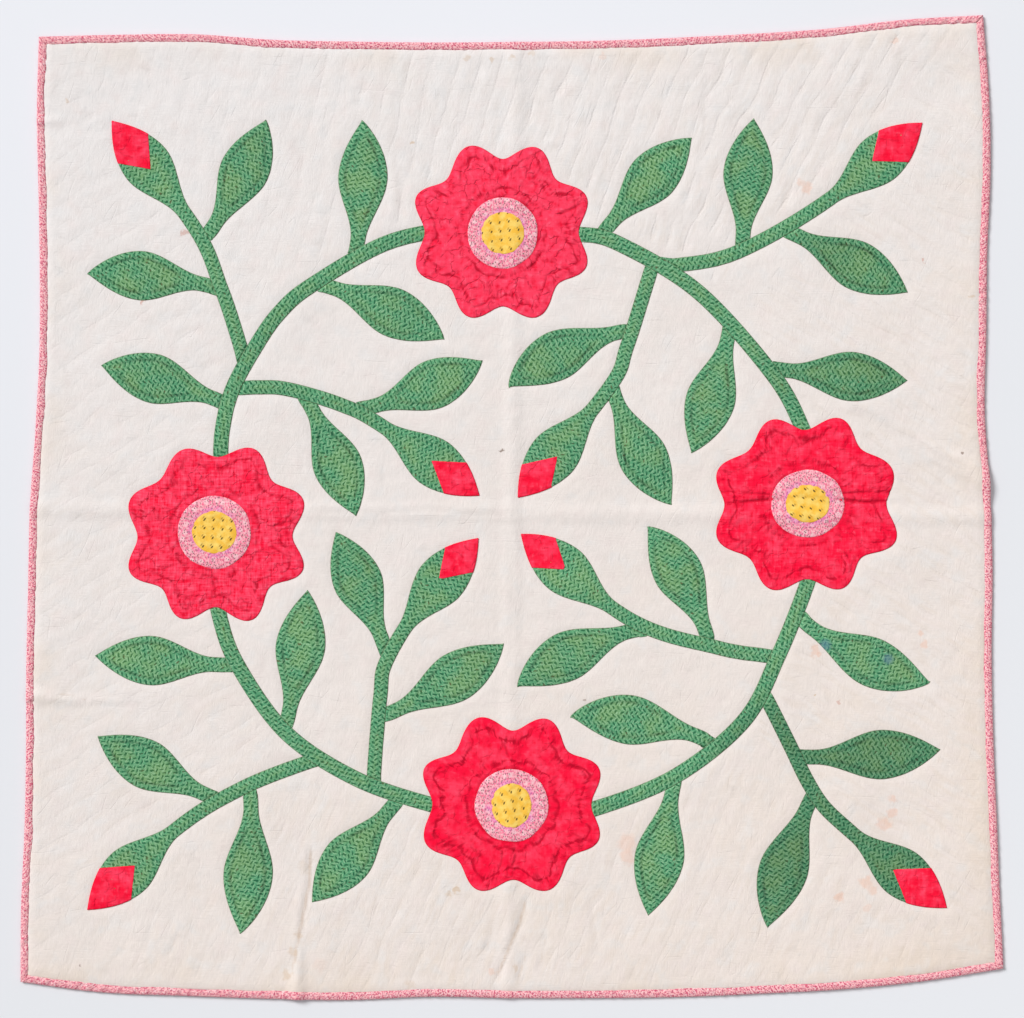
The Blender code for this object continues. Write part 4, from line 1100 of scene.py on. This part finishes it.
def redCotton(name, pure):
    # plain red, faded in patches and on its high places, with painted highlight on its high places, and
    # painted shade in its low places, creases, stitched grooves, turned edge and gathers
    cloth = Cloth(name, 0.82, 0.02, 0.08)
    x, y = cloth.place()
    inset, groove, fade, crease, thready, gatherX, gatherY, gatherShow = cloth.stored(
        "inset", "groove", "fade", "crease", "thready", "gatherX", "gatherY", "gatherShow")
    threads = cloth.noise(x * 0.07, y * 0.55, 2.0) + cloth.noise(x * 0.55, y * 0.07, 2.0, 7.0) - 1.0
    gathers = (cloth.noise(gatherX * 0.26, gatherY * 0.26, 2.0, inset * 0.09) - 0.5) * gatherShow
    # thin creases round bent facets of cloth, drawn darker as painted shade, plain in some patches and gone
    # in others
    facet = 13.0
    strayX, strayY = (cloth.speckle(x, y, 0.09, 3.0, shift) * 16.0 for shift in (81.0, 83.0))
    rims = cloth.cells((x + strayX) / facet, (y + strayY) / facet, 1.0, "DISTANCE_TO_EDGE").soft(0.110, 0.0)
    cracks = rims * cloth.speckle(x, y, 0.08, 1.0, 27.0).soft(0.40, 0.60) * (fade * 0.5 + 0.5)
    worn = cloth.speckle(x, y, 0.06, 3.0, 3.0)
    mottle = cloth.speckle(x, y, 0.16, 3.0, 13.0) - 0.5
    uneven = threads * thready * 1.2 + mottle * 1.5
    # painted shade: darker in the stitched grooves, at the turned edge, along the facet creases and creases,
    # and on the low side of the gathers
    deep = (groove * (mottle * 2.5 + 1.3).most(0.0) + inset.soft(1.5, 0.1) * 0.6 + cracks * 0.45
            + crease * 0.8 - gathers * 4.5).most(0.0)
    colour = cloth.coats(
        pure, ((worn + fade * 0.30).soft(0.35, 0.75), (1.0, 0.050, 0.112)),
        (uneven.soft(0.0, 0.55) * (fade * 0.4 + 0.35), (1.0, 0.150, 0.235)),       # paler high places: partly uneven fading, partly painted highlight on the raised bump
        (uneven.soft(0.0, -0.45) * 0.85, (0.90, 0.001, 0.030)),                    # purer low ones: painted shade
        (deep.least(1.0) * 0.85, (0.52, 0.001, 0.020)))
    # lighter and darker with the threads and mottle, and on the gathers as painted highlight and shade
    light = 1.06 + threads * thready * 0.15 + mottle * 0.20 + gathers * 0.4
    return cloth.finish(cloth.shade(colour, light), cloth.weave(x, y) * 0.02 + threads * thready * 0.5
                        + gathers * 1.1 + mottle * 0.9 - cracks * 0.6 - crease * 0.5)


def buildTip(name, strip, material):
    # straight inner edges from the corner on each side of the bud to the inner corner
    wide = Strip(strip.table[:, :2], lambda at, whole: strip.table[:, 4] + tip["wider"])
    inner, left, right, middle = (value * mm for value in tip["corners"][name])

    def edgeBack(across):
        # distance back from the tip at which the kite's inner edge crosses a line along the bud
        back = np.full(np.shape(across), inner)
        for _ in range(12):
            halfAt = lambda b: np.interp(wide.length - b, wide.lengthTo, wide.table[:, 4])
            place = across * halfAt(back)
            onLeft = inner - (inner - left) * (middle - place) / (middle + halfAt(left))
            onRight = inner - (inner - right) * (place - middle) / (halfAt(right) - middle)
            back = np.where(place < middle, onLeft, onRight)
        return back

    def lift(points, half, inset, length):
        across = np.tile(sectionShares, len(length) // len(sectionShares))
        within = np.minimum(inset, 0.8 * (length - wide.length + edgeBack(across)))
        pucker = ripples(points, (0.10, 8, 77), (0.06, 4, 78))
        return (rolledEdge(inset) + tip["over"] * quarterRound(within, 1 * mm) - 0.05 * mm
                + pucker * offEdge(within))

    starts = wide.length - edgeBack(faceShares)
    piece, _ = buildStrip("budTip" + name, None, wide, starts, wide.length, lift, material)
    for label in ("fade", "thready"):
        store(piece, label, np.full(len(piece.data.vertices), tip[label]))
    "branch" + name
    0.95 * inner * (wide.table[:, 4][np.searchsorted(wide.lengthTo, wide.length - left)])


budRed = redCotton("bud red", (0.94, 0.006, 0.040))
for name, strip in branchStrips.items():
    buildTip(name, strip, budRed)
print("bud tips laid over")


# Roses: scalloped red patch, printed disc and yellow centre

rose = {
    "insets": (0, 0.2, 0.8, 1.8, 3.2, 5, 7, 9, 10.2, 11, 11.8, 12.6, 13.4, 15, 17.5, 20, 23, 26, 29, 32,
               34.5, 36, 37, 38, 39, 41, 44, 47, 50),                      # mm in from the outline
    "echoInset": 11.4 * mm, "discEcho": 8 * mm, "grooveDepth": 0.5 * mm, "angles": 288, "discAngles": 144,
    "turns": {"Top": -5, "Left": 4, "Right": 100, "Bottom": -12},         # of the yellow print, degrees
    "fades": {"Top": 0.9, "Left": 0.6, "Right": 0.1, "Bottom": 0.0},    # how far the red has faded
    "shows": {"Top": 0.7, "Left": 0.55, "Right": 0.7, "Bottom": 1.2},   # how plainly the quilting does
    "threads": {"Top": 0.35, "Left": 1.0, "Right": 0.7, "Bottom": 0.3},    # and the weave
}


def loopAt(centre, halves, angles, seed):
    # an ellipse whose size strays by a hundredth or so as it goes round
    around = np.column_stack((np.cos(angles), np.sin(angles)))
    return centre + around * halves * (1 + 0.007 * ripple(around, 0.8, seed))[:, None]


def stackRings(name, node, rings, height, drop, material, slot, grainTurn, **read):
    # face rings from the middle outwards, then the turned edge and the back, closed at both middles;
    # heights and what the cloth reads are given from the outermost ring in, and the back reads nothing
    tops = height.reshape(len(rings), -1)
    under = ((1, 0.2 * mm), (4, drop), (-1, drop))
    layers = [np.column_stack((r, z)) for r, z in zip(rings[::-1], tops[::-1])]
    layers += [np.column_stack((rings[k], tops[0] - low)) for k, low in under]
    grid = np.array(layers)
    piece = tubePiece(name, grid, material)
    storeGrain(piece, *turned(grid[..., 0], grid[..., 1], grainTurn))
    dress(piece, node)
    for label, values in read.items():
        face = np.reshape(values, tops.shape)[::-1]
        store(piece, label, np.vstack((face, np.zeros((len(under), tops.shape[1])))))
    return piece


def rosePrint():
    # soft pale flowers on a finely mottled pink, with dark flecks and lilac near the yellow, and painted
    # shade along the creases
    cloth = Cloth("rose disc print", 0.85)
    x, y = cloth.grain()
    flowerPitch, fleckWidth, fleckHeight = 9.5, 2.2, 3.4
    shake = cloth.speckle(x, y, 0.3, 1.0, 12.0) * 3.0
    flower = cloth.cells((x + shake) / flowerPitch, (y - shake) / flowerPitch, 0.8)
    flecks = cloth.cells(x / fleckWidth + shake * 0.3, y / fleckHeight, 1.0)
    fine = cloth.noise(x * 0.60, y * 0.42, 3.0, 2.0)
    patchy = cloth.speckle(x, y, 0.12, 1.0, 8.0)
    colour = cloth.coats(
        (1.0, 0.510, 0.560), (fine.soft(0.38, 0.66), (0.90, 0.165, 0.280)),
        (flower.soft(0.32, 0.16) * 0.50, (1.0, 0.720, 0.740)),
        ((flower - 0.36).size().soft(0.08, 0.02) * patchy.soft(0.35, 0.55) * 0.5, (0.82, 0.120, 0.300)),
        (flecks.soft(0.30, 0.14) * patchy.soft(0.28, 0.48) * 0.95, (0.25, 0.15, 0.15)),
        (cloth.stored("inset").soft(8.0, 14.5) * patchy.soft(0.35, 0.60) * 0.5, (0.85, 0.200, 0.560)),
        (cloth.stored("groove").least(1.0) * 0.35, (0.45, 0.15, 0.20)))
    return cloth.finish(colour, cloth.weave(x, y) * 0.02 + fine * 0.05 + patchy * 0.3)


def yellowPrint():
    # a square lattice of short dark strokes, each with a fainter one beside it, with painted shade at the
    # turned edge and along the creases
    cloth = Cloth("yellow print", 0.85)
    x, y = cloth.grain()
    pitch, shake = 8.9, cloth.speckle(x, y, 0.10, 1.0, 6.0) * 2.0
    du, dv = ((((wire + shake) / pitch).fract() - 0.5) * pitch for wire in (x, y))
    ragged = cloth.speckle(x, y, 0.9, 0.0, 5.0) * 0.9 - 0.45
    stroke = ((du - dv * 0.45).size() * 1.6).most(dv.size() + ragged).soft(1.55, 0.9)
    second = ((du + 2.2 - dv * 0.5).size() * 1.7).most((dv - 1.8).size() + ragged).soft(1.5, 0.7)
    worn = cloth.speckle(x, y, 0.15, 3.0)
    colour = cloth.coats(
        (0.96, 0.535, 0.060), (worn.soft(0.35, 0.7), (1.0, 0.70, 0.17)),
        (second * worn.soft(0.25, 0.55) * 0.75, (0.36, 0.20, 0.04)), (stroke * 0.9, (0.055, 0.040, 0.015)),
        (cloth.stored("inset").soft(1.6, 0.1) * 0.35, (0.72, 0.30, 0.02)),
        (cloth.stored("groove").least(1.0) * 0.3, (0.50, 0.25, 0.04)))
    return cloth.finish(colour, cloth.weave(x, y) * 0.02 + worn * 0.15)


def buildRose(name, red, discCloth, yellow):
    # rings inward from the scallops: a rolled edge and padding, less the lines stitched by the edge and
    # round the disc; then the disc and the yellow centre as padded ellipses
    centre, halves, discCentre, discHalves, yellowHalves = (np.array(v) for v in roses[name])
    centre, discCentre = centre * cm, discCentre * cm
    halves, discHalves, yellowHalves = halves * mm, discHalves * mm, yellowHalves * mm
    insets = np.array(rose["insets"]) * mm
    rings = [roseLoop(name, inset, rose["angles"], 1 - smoothStep(14 * mm, 44 * mm, inset))
             for inset in insets]
    flat = np.vstack(rings)
    slope = scallops * scallopDepth / halves.mean() * np.sin(
        scallops * np.linspace(0, 2 * math.pi, rose["angles"], endpoint=False))
    inset = np.outer(insets, 1 / np.sqrt(1 + slope ** 2)).ravel()
    away = (flat - discCentre) / discHalves
    fromDisc = (np.linalg.norm(away, axis=1) - 1) * discHalves.mean()
    under = np.min([outlineGap(flat, s.outline()) for key, s in vineStrips.items()
                    if name in vines[key][:2]], axis=0)
    waver = 1.2 * mm * ripple(flat, 16 * mm, 66)
    groove = (bump(inset - rose["echoInset"] + waver, 1.3 * mm)
              + bump(fromDisc - rose["discEcho"] + waver, 1.2 * mm)
              + 0.8 * bump(np.minimum(fromDisc, 6 * mm), 1.5 * mm) * (fromDisc > -3 * mm))
    crumpled = smoothStep(-0.3, 0.8, ripple(flat, 30 * mm, 64))
    fine = (ripples(flat, (0.20, 13, 61), (0.13, 6, 62))
            - 0.5 * wrinkles(flat, 40 * mm, 63 + ord(name[0])) * crumpled)
    fine *= 0.2 + 0.8 * smoothStep(-2 * mm, 5 * mm, fromDisc)
    overVine = smoothStep(1 * mm, -1 * mm, under) * smoothStep(14 * mm, 8 * mm, inset)
    top = (seatAt(flat) + rolledEdge(inset) + 0.3 * mm * smoothStep(4 * mm, 9 * mm, inset)
           - rose["grooveDepth"] * np.minimum(groove, 1) + fine * offEdge(inset) + 0.4 * mm * overVine)
    # the cloth gathers in short strokes across the stitching, shown by the red cloth as bump with painted
    # highlight and shade
    plain = rose["shows"][name]
    shown = plain * (0.85 + 0.35 * ripple(flat, 22 * mm, 71))
    gathered = (bump(inset - rose["echoInset"], 7 * mm) + 0.6 * bump(fromDisc - rose["discEcho"], 5 * mm)
                ) * np.clip(plain * (0.8 + 0.5 * ripple(flat, 35 * mm, 75)), 0, 1)
    out = unit(flat - centre) * halves.mean() / mm
    # the grooves, creases and gathers are stored for the red cloth's painted shade and highlight
    piece = stackRings(
        "rose" + name, "rose_" + name.lower(), rings, top, patch["under"], red, "red_cotton", 0.0,
        inset=inset / mm, groove=np.clip(groove, 0, 1) * np.clip(shown, 0.1, 1),
        crease=creaseDepth(flat) / mm, fade=np.full(len(flat), rose["fades"][name]),
        thready=np.full(len(flat), rose["threads"][name]),
        gatherX=out[:, 0], gatherY=out[:, 1], gatherShow=np.clip(gathered, 0, 1))

    angles = np.linspace(0, 2 * math.pi, rose["discAngles"], endpoint=False)
    # cloth, how high it lies over the padded rose, seed and the print's turn
    layers = (("Disc", discHalves, discCloth, "rose_disc_print", -0.10 * mm, 2, 0.0),
              ("Centre", yellowHalves, yellow, "yellow_print", 0.50 * mm, 4, rose["turns"][name]))
    for kind, size, cloth, slot, raised, seed, turn in layers:
        steps = np.concatenate(((0, 0.2, 0.8, 1.8), np.linspace(3.2, size.min() / mm - 2, 14))) * mm
        rings = [loopAt(discCentre, size - step, angles, seed + ord(name[0])) for step in steps]
        flat = np.vstack(rings)
        inset = np.repeat(steps, len(angles))
        z = (seatAt(flat) + patch["edgeHeight"] + patch["puff"] + raised + 0.85 * rolledEdge(inset)
             + ripples(flat, (0.08, 8, 80 + seed)) * mm)
        # the crease depth is stored as groove, for the print's painted shade along the creases
        piece = stackRings("rose%s%s" % (kind, name), "rose_%s_%s" % (kind.lower(), name.lower()), rings,
                           z, 0.35 * mm, cloth, slot, turn, inset=inset / mm,
                           groove=creaseDepth(flat) / mm)
        tuple(2 * size)
        "rose" + name


roseRed = redCotton("rose red", (0.98, 0.006, 0.046))
discCloth, yellow = rosePrint(), yellowPrint()
for name in roses:
    buildRose(name, roseRed, discCloth, yellow)
print("roses built")


# Floor, light and camera

studio = {
    "height": 2.373, "south": 1.27 * mm, "lens": 85.0,                                 # of the camera
    # the floor's darker and lighter colours, for its painted light falloff
    "floor": ((0.795, 0.805, 0.835), (0.868, 0.876, 0.920)), "floorHalf": 6.0, "floorDrop": 0.2 * mm,
    "sun": 3.0, "sunHeight": 38.0, "sunBearing": 138.0, "sunSoft": 24.0,
    "fill": 10.0, "fillAt": (1.6, -1.2, 2.6), "fillSize": 2.4,
    "sky": 0.36, "skyHue": (0.97, 0.985, 1.0, 1.0),
}


def addLight(name, kind, place, power, size):
    # aimed at the middle of the floor
    light = bpy.data.lights.new(name, kind)
    light.energy = power
    if kind == "SUN":
        light.angle = math.radians(size)
    else:
        light.shape, light.size = "DISK", size
    lamp = addObject(name, light)
    lamp.location = place
    x, y, z = place
    lamp.rotation_euler = (math.atan2(math.hypot(x, y), z), 0, math.atan2(-y, -x) - math.pi / 2)


def buildStudio():
    # a plain floor painted darker towards the bottom and the sides as painted light falloff, lit by a soft
    # sun, a fill and the sky, and the camera straight above
    paper = Cloth("floor paper", 0.95, 0.0)
    x, y = paper.place(1.0)
    # painted light falloff: the floor darker towards the bottom and the sides
    shade = (y - x * 0.5 - x.size() * 0.55).soft(-0.6, 0.7)
    corners = [(x * studio["floorHalf"], y * studio["floorHalf"], -studio["floorDrop"])
               for x, y in ((-1, -1), (1, -1), (1, 1), (-1, 1))]
    floor = addPiece("floor", corners, [(0, 1, 2, 3)], paper.finish(paper.mix(shade, *studio["floor"])))
    level, high = bearing(studio["sunBearing"]), math.radians(studio["sunHeight"])
    addLight("key", "SUN", (*(3 * math.cos(high) * level), 3 * math.sin(high)), studio["sun"],
             studio["sunSoft"])
    addLight("fill", "AREA", studio["fillAt"], studio["fill"], studio["fillSize"])
    world = bpy.data.worlds.new("studio")
    world.use_nodes = True
    for label, value in (("Color", studio["skyHue"]), ("Strength", studio["sky"])):
        world.node_tree.nodes["Background"].inputs[label].default_value = value
    bpy.context.scene.world = world
    camera = addObject("camera", bpy.data.cameras.new("camera"))
    camera.data.lens, camera.data.sensor_width = studio["lens"], 36.0
    camera.data.clip_start, camera.data.clip_end = 0.05, 30.0
    camera.location = (0.0, -studio["south"], studio["height"])
    bpy.context.scene.camera = camera
    bpy.context.scene.view_settings.view_transform = "Standard"


buildStudio()
print("studio set")
